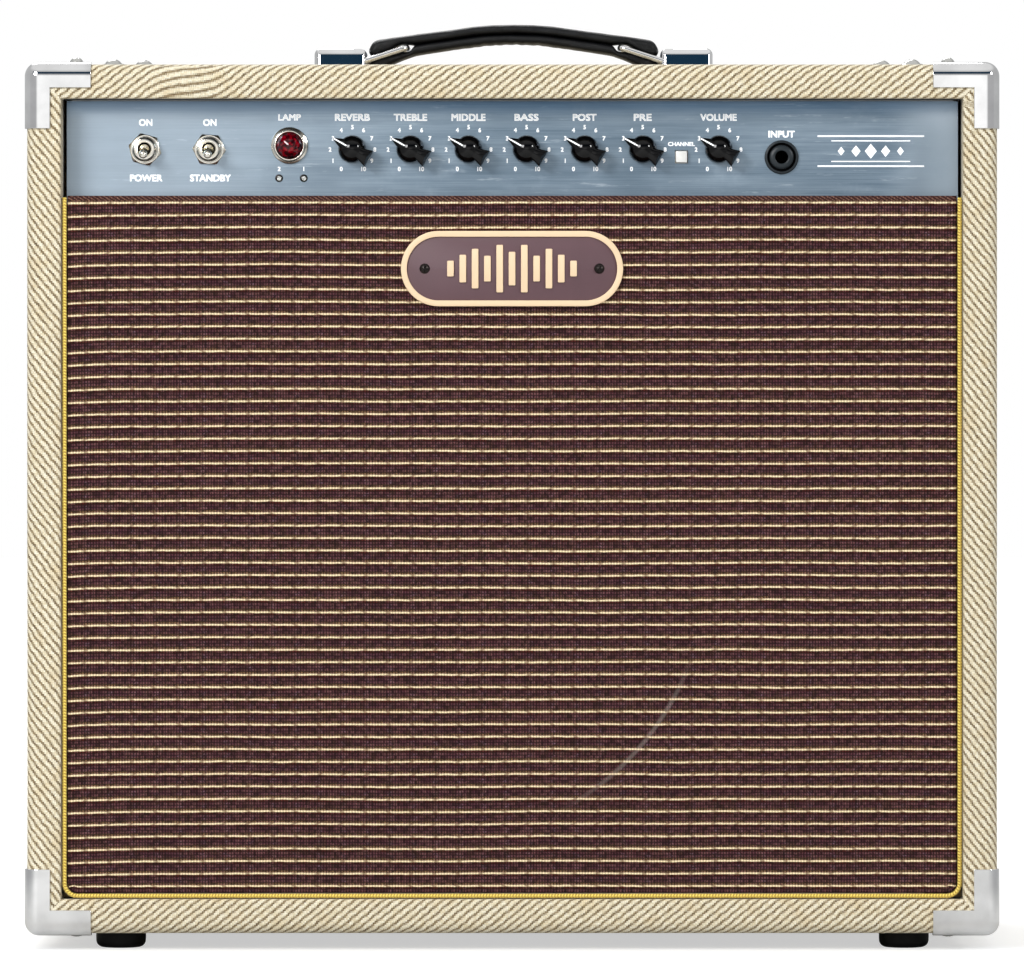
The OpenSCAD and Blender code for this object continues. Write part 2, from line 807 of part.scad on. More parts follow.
// A pointer knob on its shaft. The knob and the shaft are separate solids
module pointer_knob(x) {
    back = panel_y - pot_nut_t - knob_gap;
    bore_end = back - knob_h + 3;
    color("black") translate([x, 0, control_z]) difference() {
        facing_front(back) rotate([0, 0, knob_rest_deg]) union() {
            cylinder(h = knob_h - 3, d = knob_d);
            translate([0, 0, 2]) linear_extrude(knob_h - 2) polygon(pointer_points());
        }
        rod_y(0, 0, shaft_r, bore_end, back + 1);
        rod_y(0, 0, bushing_r + 0.5, panel_y - 5, back + 1);
    }
    color("gainsboro") rod_y(x, control_z, shaft_r, bore_end, chassis_in_y + 2.8);
}

module reverb_knob() { pointer_knob(knob_x[0]); }

module treble_knob() { pointer_knob(knob_x[1]); }

module middle_knob() { pointer_knob(knob_x[2]); }

module bass_knob() { pointer_knob(knob_x[3]); }

module post_knob() { pointer_knob(knob_x[4]); }

module pre_knob() { pointer_knob(knob_x[5]); }

module volume_knob() { pointer_knob(knob_x[6]); }

module toggle_body(x) {
    difference() {
        union() {
            rod_y(x, control_z, toggle_bushing_r, panel_y - toggle_out, chassis_in_y + 1);
            box([x - 7.5, chassis_in_y, control_z - 10], [x + 7.5, chassis_in_y + 16, control_z + 10]);
        }
        rod_y(x, control_z, toggle_bore_r, panel_y - toggle_out - 1, panel_y + 1);
        translate([x - 9, lever_pivot_y, control_z]) rotate([0, 90, 0]) cylinder(h = 18, r = lever_pin_r + shaft_gap);
    }
    translate([x, 0, control_z]) facing_front(panel_y) rotate([0, 0, 15])
        hex_nut(toggle_nut_af, toggle_nut_t, toggle_bushing_r);
}

// The push switch behind the panel: a body with a square socket for the stem, and two side rails
module channel_switch() {
    y0 = chassis_in_y + 4;
    difference() {
        union() {
            box([button_x - 5.4, y0, button_z - 5], [button_x + 5.4, y0 + 12, button_z + 5]);
            for (s = [-1, 1])
                box([button_x + s * 4.65 - 0.75, chassis_in_y, button_z - 5],
                    [button_x + s * 4.65 + 0.75, y0 + 1, button_z + 5]);
        }
        box([button_x - 1.7, y0 - 1, button_z - 1.7], [button_x + 1.7, y0 + 9, button_z + 1.7]);
    }
}

module switch_bodies() {
    color("silver") {
        toggle_body(power_x);
        toggle_body(standby_x);
        channel_switch();
    }
}

// A bat lever on a cross pin. It hangs lever_tilt below the level at rest
module toggle_lever(x) {
    color("gainsboro") translate([x, lever_pivot_y, control_z]) rotate([90 + lever_tilt, 0, 0]) union() {
        sphere(r = 2.9);
        cylinder(h = 12.3, r1 = 1.25, r2 = 2.1);
        translate([0, 0, 12.3]) sphere(r = 2.1);
        translate([0, 0, -5.5]) cylinder(h = 5.5, r = 1.2);
        rotate([0, 90, 0]) translate([0, 0, -4.5]) cylinder(h = 9, r = lever_pin_r);
    }
}

module power_lever() { toggle_lever(power_x); }

module standby_lever() { toggle_lever(standby_x); }

module channel_button() {
    cap = button_w / 2;
    cap_back = chassis_in_y + 1;
    color("white") union() {
        box([button_x - cap, panel_y - button_out, button_z - cap], [button_x + cap, cap_back, button_z + cap]);
        box([button_x - 1.5, cap_back - 1, button_z - 1.5], [button_x + 1.5, cap_back + 8, button_z + 1.5]);
    }
}

module jewel_bezel() {
    barrel_r = jewel_r + 1.5;
    color("silver") {
        translate([jewel_x, 0, jewel_z]) facing_front(panel_y) rotate_extrude() difference() {
            union() {
                square([bezel_r - 2, 4.2]);
                square([bezel_r, 2.2]);
                translate([bezel_r - 2, 2.2]) circle(r = 2);
                translate([0, panel_y - chassis_in_y - 8]) square([barrel_r, chassis_in_y - panel_y + 9]);
            }
            translate([-1, -40]) square([jewel_r + 1, 60]);
            translate([-20, -30]) square([20, 60]);
        }
        translate([jewel_x, chassis_in_y + 3, jewel_z]) rotate([90, 0, 0]) hex_nut(20, 3, barrel_r);
    }
}

// The faceted lens, and the lamp behind it as a separate solid
module jewel_lens() {
    color("red") {
        translate([jewel_x, 0, jewel_z]) facing_front(panel_y + 2) union() {
            cylinder(h = 6.2, r = jewel_r);
            translate([0, 0, 6.2]) cylinder(h = 2.6, r1 = jewel_r, r2 = 2.4);
        }
        rod_y(jewel_x, jewel_z, 5, panel_y + 3, panel_y + 22);
    }
}

module status_leds() {
    color("white") for (x = led_x) translate([x, 0, led_z]) union() {
        facing_front(panel_y) screw_head(led_r, 0.9);
        rod_y(0, 0, led_r, panel_y, chassis_in_y + 5);
    }
}

// A phone jack in local Z, mouth upwards at z 0 and the mounting wall's outer face at z -jack_collar
module phone_jack(wall_t) {
    difference() {
        union() {
            translate([0, 0, -jack_collar - wall_t - 1])
                cylinder(h = jack_collar + wall_t + 1 - 0.8, r = jack_bushing_r);
            translate([0, 0, -1]) cylinder(h = 1, r = 4.8);
            translate([-jack_body / 2, -jack_body / 2, -jack_collar - wall_t - 30])
                cube([jack_body, jack_body, 30]);
        }
        translate([0, 0, -jack_depth]) cylinder(h = jack_depth + 1, r = jack_bore_r);
    }
    translate([0, 0, -jack_collar]) ring(jack_nut_r, jack_bushing_r, 2.2);
}

module input_jack() {
    color("black") translate([jack_x, panel_y - jack_collar, jack_z]) rotate([90, 0, 0])
        phone_jack(chassis_in_y - panel_y);
}

module rear_jacks() {
    color("black") for (x = rear_jack_x)
        translate([x, chassis_y1 + jack_collar, rear_jack_z]) rotate([-90, 0, 0]) phone_jack(steel_t);
}

module mains_inlet() {
    y1 = chassis_y1 + 3;
    color("black") {
        difference() {
            union() {
                box([inlet_x - 25, chassis_y1, rear_jack_z - 12], [inlet_x + 25, y1, rear_jack_z + 12]);
                box([inlet_x - inlet_w / 2, chassis_y1 - inlet_l, rear_jack_z - inlet_h / 2],
                    [inlet_x + inlet_w / 2, chassis_y1 + 1, rear_jack_z + inlet_h / 2]);
            }
            box([inlet_x - 12, y1 - 16, rear_jack_z - 8], [inlet_x + 12, y1 + 1, rear_jack_z + 8]);
            for (x = [-20, 20]) rod_y(inlet_x + x, rear_jack_z, screw_r, chassis_y1 - 1, y1 + 1);
        }
        for (x = [-7, 0, 7])
            box([inlet_x + x - 1, y1 - 16, rear_jack_z - 3 + (x == 0 ? 3 : 0)],
                [inlet_x + x + 1, y1 - 7, rear_jack_z + 1 + (x == 0 ? 3 : 0)]);
        for (x = [-20, 20]) translate([inlet_x + x, 0, rear_jack_z]) union() {
            translate([0, y1, 0]) rotate([-90, 0, 0]) screw_head(3.2, 1.6);
            rod_y(0, 0, screw_r, chassis_y1, y1);
        }
    }
}

// ---- Inside ----

// A laminated core with a steel bell on each end, hung under the chassis. size is [x, y, z] over all
module transformer(at, size) {
    core_y = size[1] * 0.46;
    bell_y = (size[1] - core_y) / 2;
    top = chassis_z0;
    translate([at[0], at[1], top - size[2]]) {
        translate([-size[0] / 2, -core_y / 2, 0]) cube([size[0], core_y, size[2]]);
        for (s = [-1, 1]) scale([1, s, 1]) difference() {
            translate([-size[0] / 2 + 4, core_y / 2, 5]) cube([size[0] - 8, bell_y, size[2] - 10]);
            for (e = [-1, 1]) translate([e * (size[0] / 2 - 4), core_y / 2 + bell_y, -1])
                rotate([0, 0, 45]) cube([9, 9, 3 * size[2]], center = true);
        }
        for (x = [-1, 1], z = [0.08, 0.92], s = [-1, 1])
            translate([x * (size[0] / 2 - 5.5), s * core_y / 2, z * size[2]])
                rotate([-90 * s, 0, 0]) cylinder(h = 3, r = 3.4, $fn = 6);
    }
}

module power_transformer() { color("darkslategray") transformer([174, 5], [72, 84, 66]); }

module output_transformer() { color("darkslategray") transformer([-190, 10], [50, 60, 46]); }

module circuit_board() {
    z = chassis_z0 + 12;
    y0 = chassis_in_y + 20;
    color("seagreen") {
        box([-130, y0, z], [120, 40, z + 1.6]);
        for (x = [-110:30:100]) translate([x, -8, z + 1.6]) cylinder(h = 22, r = 7);
        for (x = [-112:16:104], y = [-45, -28]) translate([x, y, z + 1.6]) cube([11, 4, 4.5]);
        for (x = [-126, 116], y = [y0 + 4, 36])
            translate([x, y, chassis_z0 + steel_t]) cylinder(h = 12 - steel_t, r = 3);
    }
}

module tube_sockets() {
    color("ivory") for (x = concat(preamp_x, power_tube_x)) translate([x, tube_y, chassis_z0]) {
        translate([0, 0, -socket_h]) cylinder(h = socket_h, r = 12.5);
        cylinder(h = 5, r = 8.9);
    }
}

// A glass envelope that tapers to its exhaust tip, hanging from its socket
module tube_envelope(x, length) {
    translate([x, tube_y, chassis_z0 - socket_h]) rotate([180, 0, 0]) rotate_extrude() polygon([
        [0, 0], [tube_r - 1, 0], [tube_r, 2], [tube_r, length - 9], [tube_r - 2, length - 5.5],
        [tube_r - 6, length - 3.4], [1.6, length - 2.6], [0.8, length], [0, length]
    ]);
}

module preamp_tubes() { color("whitesmoke") for (x = preamp_x) tube_envelope(x, 50); }

module power_tubes() { color("whitesmoke") for (x = power_tube_x) tube_envelope(x, 72); }

// A folded sheet tray, open downwards, on four rubber grommets with one long spring frame inside
module reverb_tank() {
    tank = [425, 108, 29];
    y0 = -20;
    z0 = wood_in_z0 + 4;
    wall = 1.2;
    lip = 7;
    color("gray") {
        difference() {
            box([-tank[0] / 2, y0, z0], [tank[0] / 2, y0 + tank[1], z0 + tank[2]]);
            box([-tank[0] / 2 + wall, y0 + wall, z0 - 1], [tank[0] / 2 - wall, y0 + tank[1] - wall, z0 + tank[2] - wall]);
        }
        for (s = [0, 1]) mirror([s, 0, 0])
            box([tank[0] / 2 - lip - wall - eps, y0 + wall - eps, z0], [tank[0] / 2 - wall + eps, y0 + tank[1] - wall + eps, z0 + wall]);
        for (x = [-1, 1], y = [0.12, 0.88])
            translate([x * (tank[0] / 2 - 6), y0 + y * tank[1], wood_in_z0]) cylinder(h = 4.5, r = 4);
    }
}

// Centreline of the speaker lead, from the chassis grommet down to the terminal strip on the basket
lead_route = [
    [-145, 50, 378], [-145, 50, 366], [-145, 51, 352], [-146, 52, 338], [-148, 50, 322], [-152, 44, 306],
    [-157, 34, 292], [-160, 22, 280], [-161, 8, 270], [-159, -6, 262], [-154, -20, 256], [-147, -32, 252],
    [-139, -42, 250], [-132, -50, 250]
];
lead_r = 2.2;
lead_sides = 8;

function unit(v) = v / norm(v);
function tangent(p, i) = unit(p[min(i + 1, len(p) - 1)] - p[max(i - 1, 0)]);
function ring_points(p, i) = let (t = tangent(p, i), u = unit(cross(t, [0, 1, 0.3])), v = cross(t, u))
    [for (k = [0:lead_sides - 1])
        p[i] + lead_r * (u * cos(k * 360 / lead_sides) + v * sin(k * 360 / lead_sides))];

module swept_tube(p) {
    n = len(p);
    m = lead_sides;
    polyhedron(
        points = [for (i = [0:n - 1]) each ring_points(p, i)],
        faces = concat(
            [[for (k = [0:m - 1]) k]],
            [for (i = [0:n - 2], k = [0:m - 1]) [i * m + k, (i + 1) * m + k, (i + 1) * m + (k + 1) % m]],
            [for (i = [0:n - 2], k = [0:m - 1]) [i * m + k, (i + 1) * m + (k + 1) % m, i * m + (k + 1) % m]],
            [[for (k = [m - 1:-1:0]) (n - 1) * m + k]]
        )
    );
}

// The speaker lead, the rubber grommet round it and the terminal strip that it ends on
module internal_leads() {
    color("maroon") {
        swept_tube(lead_route);
        translate([lead_grommet[0], lead_grommet[1], chassis_z0 - 1.5]) ring(5.5, lead_r + 0.2, 1.5);
        translate([-128, -52, 244]) rotate([0, 0, -55]) cube([2, 12, 12]);
    }
}

// ---- Back ----

// A covered plywood panel between two heights, with its screw holes
module back_panel(z) {
    difference() {
        box([-back_panel_x, back_panel_y0, z[0]], [back_panel_x, back_panel_y0 + back_panel_t, z[1]]);
        for (x = [-1, 1], e = [z[0] + 1.4 * panel_screw_inset, z[1] - 1.4 * panel_screw_inset])
            rod_y(x * (wood_in_x - cleat_w / 2), e, screw_r, back_panel_y0 - 1, back_y + 1);
    }
}

module back_panel_upper() {
    color("wheat") difference() {
        back_panel(upper_panel_z);
        box([-vent_x, back_panel_y0 - 1, vent_z[0]], [vent_x, back_y + 1, vent_z[1]]);
    }
}

module back_panel_lower() { color("wheat") back_panel(lower_panel_z); }

// A slotted steel screen behind the vent opening
module vent_grille() {
    slot_n = 24;
    slot_w = 5;
    rim = 8;
    pitch = (2 * vent_x - slot_w) / slot_n;
    slot_h = (vent_z[1] - vent_z[0]) / 2 - 6;
    color("black") difference() {
        box([-vent_x - rim, back_panel_y0 - steel_t, vent_z[0] - rim], [vent_x + rim, back_panel_y0, vent_z[1] + rim]);
        for (i = [0:slot_n - 1], row = [0, 1])
            translate([-vent_x + slot_w / 2 + i * pitch + pitch / 2 - slot_w / 2, back_panel_y0 - 5,
                       vent_z[0] + 4 + row * (slot_h + 4)]) cube([slot_w, 10, slot_h]);
    }
}

// ---- Handle ----

// A chrome cap with a floor, two lugs that hold the link's bar, and two slots for the link's arms
module handle_bracket() {
    l = bracket_l;
    w = bracket_w;
    h = bracket_h;
    difference() {
        union() {
            difference() {
                translate([bracket_x0 + l / 2, 0, top_z - 4]) rounded_block(l, w, h + 4, 3.5);
                box([bracket_x0 + bracket_wall, -w / 2 + bracket_wall, top_z + bracket_floor],
                    [bracket_x0 + l - bracket_wall, w / 2 - bracket_wall, top_z + h - bracket_wall]);
            }
            for (s = [-1, 1])
                box([pivot_x - 1.9, s * 8 - 2.5, top_z + bracket_floor - 1],
                    [pivot_x + 3, s * 8 + 2.5, pivot_z + 3]);
        }
        box([0, -w, top_z - 10], [bracket_x0 + l + 10, w, top_z]);
        translate([pivot_x, -w, pivot_z]) rotate([-90, 0, 0])
            cylinder(h = 2 * w - (w - wire_half_w - wire_r), r = wire_r + shaft_gap);
        for (s = [-1, 1])
            box([bracket_x0 - 1, s * wire_half_w - wire_slot_w / 2, top_z + bracket_floor],
                [bracket_x0 + bracket_wall + 1, s * wire_half_w + wire_slot_w / 2, top_z + h + 1]);
        translate([handle_bolt_x, 0, top_z - 1]) cylinder(h = bracket_floor + 2, r = bolt_r);
    }
}

module handle_brackets() {
    color("silver") both_sides() handle_bracket();
}

// A rectangular wire link with rounded corners, drawn level and pointing towards the middle, then raised
// to its rest angle
module wire_link() {
    c = 3;
    translate([pivot_x, 0, pivot_z]) rotate([0, link_rest, 0]) {
        for (x = [0, -link_l]) translate([x, -wire_half_w + c, 0]) rotate([-90, 0, 0])
            cylinder(h = 2 * (wire_half_w - c), r = wire_r);
        for (y = [-1, 1]) translate([-link_l + c, y * wire_half_w, 0]) rotate([0, 90, 0])
            cylinder(h = link_l - 2 * c, r = wire_r);
        for (a = [0, 90, 180, 270])
            translate([a == 90 || a == 180 ? c - link_l : -c, (a < 180 ? 1 : -1) * (wire_half_w - c), 0])
                rotate([0, 0, a]) rotate_extrude(angle = 90) translate([c, 0]) circle(r = wire_r, $fn = 32);
    }
}

module handle_link_right() { color("silver") wire_link(); }

module handle_link_left() { color("silver") mirror([1, 0, 0]) wire_link(); }

// Heights of the strap's upper and lower faces above the cabinet, at a distance x from its middle
function strap_top(x) = grip_crown - x * x / (2 * grip_arch_r);
function strap_under(x) = grip_under - grip_under_k * x * x;

// One half of the strap's side outline, from the middle of its top round the end to the middle of its underside
function strap_half() =
    let (zt = strap_top(grip_end_x), zb = strap_under(grip_end_x), zc = (zt + zb) / 2,
         rz = (zt - zb) / 2, rx = grip_outer_x - grip_end_x)
    concat(
        [for (i = [0:8]) let (x = grip_end_x * i / 8) [x, strap_top(x)]],
        [for (a = [80:-16:-80]) [grip_end_x + rx * cos(a), zc + rz * sin(a)]],
        [for (i = [8:-1:0]) let (x = grip_end_x * i / 8) [x, strap_under(x)]]
    );

// The gap between the strap's two flaps, with room at its root for the link's bar
function mouth_half() = [
    [bar_x - 6.5, bar_z + 0.2], [bar_x - 2.2, bar_z + 2.1], [bar_x + 4.8, bar_z + 2.1], [bar_x + 8, bar_z + 0.9],
    [grip_outer_x + 2, bar_z - 1.4], [grip_outer_x + 2, bar_z - 3.4], [bar_x + 8, bar_z - 2.2],
    [bar_x + 4.8, bar_z - 2.1], [bar_x - 2.2, bar_z - 2.1]
];

module handle_grip() {
    color("black") translate([0, 0, top_z]) facing_front(grip_w / 2) linear_extrude(grip_w) difference() {
        polygon(concat(strap_half(), [for (i = [len(strap_half()) - 2:-1:1]) [-strap_half()[i][0], strap_half()[i][1]]]));
        for (s = [0, 1]) mirror([s, 0]) polygon(mouth_half());
    }
}

side_board_left();
side_board_right();
top_board();
bottom_board();
tweed_covering();
corner_protectors();
wood_screws();
feet();
baffle_board();
cleats();
grille_cloth();
grille_piping();
badge_plate();
badge_screws();
speaker_basket();
speaker_gasket();
speaker_magnet();
speaker_yoke();
speaker_spider();
speaker_surround();
speaker_bolts();
speaker_cone();
dust_cap();
voice_coil();
chassis();
top_bolts();
control_panel();
pot_bodies();
switch_bodies();
jewel_bezel();
jewel_lens();
status_leds();
input_jack();
rear_jacks();
mains_inlet();
power_transformer();
output_transformer();
circuit_board();
tube_sockets();
preamp_tubes();
power_tubes();
reverb_tank();
internal_leads();
back_panel_upper();
vent_grille();
back_panel_lower();
reverb_knob();
treble_knob();
middle_knob();
bass_knob();
post_knob();
pre_knob();
volume_knob();
power_lever();
standby_lever();
channel_button();
handle_brackets();
handle_grip();
handle_link_left();
handle_link_right();
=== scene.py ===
"""Looks for the valve guitar amplifier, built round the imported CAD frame.

Shapes are worked out in millimetres and become metres when a piece is made. The frame's X runs left to
right, Y from front to back and Z up, and places come from the CAD nodes' own boxes and joints.
"""
import json
import math

import bmesh
import bpy
from mathutils import Matrix, Vector, noise


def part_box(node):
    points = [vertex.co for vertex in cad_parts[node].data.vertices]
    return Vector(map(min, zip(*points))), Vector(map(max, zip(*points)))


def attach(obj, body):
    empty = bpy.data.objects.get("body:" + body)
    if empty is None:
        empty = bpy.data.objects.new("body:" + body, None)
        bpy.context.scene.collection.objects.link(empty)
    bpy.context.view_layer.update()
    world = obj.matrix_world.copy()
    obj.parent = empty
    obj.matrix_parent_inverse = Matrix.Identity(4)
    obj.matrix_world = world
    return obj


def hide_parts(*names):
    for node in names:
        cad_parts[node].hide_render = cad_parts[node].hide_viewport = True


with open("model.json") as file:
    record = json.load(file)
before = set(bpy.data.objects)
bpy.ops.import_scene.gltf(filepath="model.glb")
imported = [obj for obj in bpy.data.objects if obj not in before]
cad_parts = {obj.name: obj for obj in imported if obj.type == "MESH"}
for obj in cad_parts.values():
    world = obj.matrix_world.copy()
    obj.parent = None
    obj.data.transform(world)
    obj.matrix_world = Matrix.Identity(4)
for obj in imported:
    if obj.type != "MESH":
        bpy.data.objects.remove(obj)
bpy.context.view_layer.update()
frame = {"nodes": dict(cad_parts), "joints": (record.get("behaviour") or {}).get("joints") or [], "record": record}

MM = 0.001
FRONT = Matrix(((1, 0, 0), (0, 0, -1), (0, 1, 0)))   # local Z faces the front, local Y is up
REAR = Matrix(((-1, 0, 0), (0, 0, 1), (0, 1, 0)))    # local Z faces the back, local Y is up
UP = Matrix.Identity(3)
DOWN = Matrix(((1, 0, 0), (0, -1, 0), (0, 0, -1)))
RIGHT = Matrix(((0, 0, 1), (1, 0, 0), (0, 1, 0)))    # local Z faces +X
LEFT = Matrix(((0, 0, -1), (-1, 0, 0), (0, 1, 0)))   # local Z faces -X


def box_mm(node):
    """The lowest and highest corner of a CAD node, in millimetres."""
    low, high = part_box(node)
    return low / MM, high / MM


def middle(node):
    low, high = box_mm(node)
    return (low + high) / 2


# ---- Driving dimensions, from the frame ----

cover_low, cover_high = box_mm("tweed_covering")
side_low, side_high = box_mm("side_board_right")
panel_low, panel_high = box_mm("control_panel")
cloth_low, cloth_high = box_mm("grille_cloth")
chassis_back = box_mm("chassis")[1].y
baffle_back = box_mm("baffle_board")[1].y
cover_t = cover_high.x - side_high.x
lining_t = side_high.x - side_low.x + 2 * cover_t
open_x = cover_high.x - lining_t
open_z0 = cover_low.z + lining_t
open_z1 = cover_high.z - lining_t
front_y, back_y = cover_low.y, cover_high.y
top_z, bottom_z = cover_high.z, cover_low.z
panel_y = panel_low.y
joint_at = {j["name"]: Vector(j["pos_m"]) / MM for j in frame["joints"] if j.get("pos_m")}
KNOBS = ["reverb", "treble", "middle", "bass", "post", "pre", "volume"]
knob_x = [joint_at[name + "_turn"].x for name in KNOBS]
control_z = joint_at["reverb_turn"].z
toggle_x = [joint_at["power_throw"].x, joint_at["standby_throw"].x]
pivot_x, _, pivot_z = joint_at["link_swing_right"]
speaker_x, _, speaker_z = middle("speaker_magnet")

BRACKET_IN = pivot_x - 3.6     # inner end of a handle bracket
BRACKET_BOLT = 18.36           # from there to its bolt
LINK_L = 25.5                  # length and half width of the handle's wire links, along the wire
LINK_HALF = 13.5
LINK_REST = math.radians(18)   # how far they slope at rest
LED_R = 1.8                    # radius of the two small lamps


# ---- Camera, light and floor ----

def link(thing):
    bpy.context.scene.collection.objects.link(thing)


def make_camera():
    data = bpy.data.cameras.new("camera")
    data.lens = 279.3
    data.shift_x = -0.0582
    data.shift_y = -0.0989
    data.clip_end = 100
    camera = bpy.data.objects.new("camera", data)
    camera.location = (0.03, -4.1205, 0.284)
    camera.rotation_euler = (math.radians(90), 0, 0)
    link(camera)
    bpy.context.scene.camera = camera


def make_world():
    """White behind the object. What the metal reflects is a soft grey room, darker in front, with a bright
    patch straight ahead and a dark strip above it."""
    world = bpy.data.worlds.new("studio")
    world.use_nodes = True
    bpy.context.scene.world = world
    room = Nodes(world.node_tree)
    x, y, z = room.split(room.node("TexCoord"))
    ahead = room.times(y, -1.0)
    bearing = room.math("ABSOLUTE", room.math("DIVIDE", x, room.math("MAXIMUM", ahead, 0.001)))
    glow = room.times(room.step(z, 0.22, 0.13), room.step(bearing, 0.45, 0.15))
    dim = room.times(room.step(z, 0.42, 0.30), room.step(bearing, 6.0, 1.2))
    strip = room.times(room.step(z, 0.30, 0.34), room.step(z, 0.62, 0.54))
    strip = room.times(strip, room.step(bearing, 1.6, 1.0))
    front = room.step(ahead, -0.05, 0.05)
    light = room.mix(room.step(z, 0.55, 0.85), (0.50, 0.505, 0.51, 1), (0.78, 0.78, 0.78, 1))
    for patch, colour in ((dim, (0.44, 0.44, 0.45, 1)), (glow, (1.1, 1.1, 1.1, 1)),
                          (strip, (0.008, 0.03, 0.058, 1))):
        light = room.mix(room.times(patch, front), light, colour)
    seen = room.node("LightPath", output="Is Camera Ray")
    room.put(world.node_tree.nodes["Background"].inputs["Color"], room.mix(seen, light, (1, 1, 1, 1)))


def soft_light(name, place, size, power):
    """A rectangular lamp aimed at the cabinet's middle. place and size are in metres."""
    data = bpy.data.lights.new(name, "AREA")
    data.shape = "RECTANGLE"
    data.size, data.size_y = size
    data.energy = power
    lamp = bpy.data.objects.new(name, data)
    lamp.location = place
    aim = Vector((0, 0, 0.24)) - Vector(place)
    lamp.rotation_euler = aim.to_track_quat("-Z", "Y").to_euler()
    link(lamp)


def make_stage():
    half = 9000
    floor = Shape()
    floor.add(([(-half, -half, 0), (half, -half, 0), (half, half, 0), (-half, half, 0)], [[0, 1, 2, 3]]))
    pale_floor()
    floor.make("floor", "pale_floor")
    soft_light("key", (-1.9, -3.2, 1.8), (1.3, 1.3), 117)
    soft_light("fill", (3.0, -2.3, 1.8), (0.6, 0.8), 50)
    soft_light("back", (-0.6, 2.6, 3.0), (2.0, 1.6), 60)
    bpy.context.scene.view_settings.view_transform = "Standard"


# ---- Materials ----

finish = {}   # every material, by the name of its slot


def srgb(red, green, blue):
    """A colour given as 0 to 255 display values, as a linear one with alpha."""
    def linear(c):
        c /= 255
        return c / 12.92 if c <= 0.04045 else ((c + 0.055) / 1.055) ** 2.4
    return linear(red), linear(green), linear(blue), 1.0


class Nodes:
    """Short calls for the shader nodes that the materials share. A value may be a number or a socket."""

    def __init__(self, tree):
        self.tree = tree

    def put(self, socket, value):
        if isinstance(value, bpy.types.NodeSocket):
            self.tree.links.new(value, socket)
        else:
            socket.default_value = value

    def node(self, kind, inputs=None, output=0, **settings):
        made = self.tree.nodes.new("ShaderNode" + kind)
        for setting, value in settings.items():
            setattr(made, setting, value)
        for socket, value in (inputs or {}).items():
            self.put(made.inputs[socket], value)
        return made.outputs[output]

    def math(self, operation, a, b=0.0):
        return self.node("Math", {0: a, 1: b}, operation=operation)

    def times(self, a, b):
        return self.math("MULTIPLY", a, b)

    def mad(self, a, factor, extra):
        """a times a factor, plus an extra."""
        return self.node("Math", {0: a, 1: factor, 2: extra}, operation="MULTIPLY_ADD")

    def step(self, value, low, high):
        """0 at low and 1 at high, smoothly."""
        sockets = {0: value, 1: low, 2: high, 3: 0.0, 4: 1.0}
        return self.node("MapRange", sockets, interpolation_type="SMOOTHSTEP")

    def mix(self, factor, a, b):
        return self.node("Mix", {0: factor, 6: a, 7: b}, output=2, data_type="RGBA")

    def split(self, vector):
        made = self.tree.nodes.new("ShaderNodeSeparateXYZ")
        self.put(made.inputs[0], vector)
        return made.outputs[0], made.outputs[1], made.outputs[2]

    def join(self, x, y, z=0.0):
        return self.node("CombineXYZ", {0: x, 1: y, 2: z})

    def stretch(self, vector, x, y, z):
        return self.node("VectorMath", {0: vector, 1: (x, y, z)}, operation="MULTIPLY")

    def noise(self, vector, scale, detail=2.0, roughness=0.5):
        sockets = {"Vector": vector, "Scale": scale, "Detail": detail, "Roughness": roughness}
        return self.node("TexNoise", sockets)

    def speckle(self, u, v):
        """A random value from 0 to 1 for each pair of coordinates."""
        return self.node("TexWhiteNoise", {"Vector": self.join(u, v)}, noise_dimensions="2D")

    def wave(self, value, pitch, shift=0.0):
        """0 to 1 and back, once in each pitch."""
        return self.mad(self.math("SINE", self.mad(value, 2 * math.pi / pitch, shift)), 0.5, 0.5)

    def nearest(self, value, pitch):
        """The distance to the nearest whole multiple of the pitch."""
        return self.math("PINGPONG", self.math("ABSOLUTE", value), pitch / 2)


class Finish(Nodes):
    """One material on a Principled surface. mm holds the piece's own coordinates in millimetres."""

    def __init__(self, name, **fixed):
        material = bpy.data.materials.new(name)
        material.use_nodes = True
        finish[name] = material
        super().__init__(material.node_tree)
        self.surface = self.tree.nodes["Principled BSDF"]
        for socket, value in fixed.items():
            self.surface.inputs[socket.replace("_", " ")].default_value = value
        self.mm = self.stretch(self.node("TexCoord", output="Object"), 1000, 1000, 1000)

    def set(self, **values):
        for socket, value in values.items():
            self.put(self.surface.inputs[socket.replace("_", " ")], value)

    def colour(self, value):
        self.set(Base_Color=value)

    def tint(self, factor, first, second):
        """The surface's colour, from one display colour to another."""
        self.colour(self.mix(factor, srgb(*first), srgb(*second)))

    def rough(self, value):
        self.set(Roughness=value)

    def bump(self, height, strength=1.0):
        """Relief from a height in millimetres."""
        self.set(Normal=self.node("Bump", {"Height": height, "Distance": MM, "Strength": strength}))

    def relief(self, pattern, depth, strength=1.0):
        """Relief as deep as the pattern, which goes from 0 to 1, times a depth in millimetres."""
        self.bump(self.times(pattern, depth), strength)

    def weave(self):
        """The cloth's own coordinates in millimetres."""
        return self.node("UVMap", uv_map="weave")


def metal(name, display, rough=0.15, wear=0.06, grain=1.2, relief=0.004, cloud=0.9):
    """Plated or polished metal, with faint smears and scratches."""
    f = Finish(name, Metallic=1.0)
    colour = srgb(*display)
    smear = f.noise(f.mm, 0.05, 3)
    scratch = f.noise(f.stretch(f.mm, 1, 1, 0.15), grain, 4, 0.65)
    f.rough(f.mad(smear, wear, f.mad(scratch, wear, rough - wear)))
    dim = tuple(c * cloud for c in colour[:3]) + (1,)
    f.colour(f.mix(f.step(smear, 0.3, 0.7), colour, dim))
    f.relief(scratch, relief)


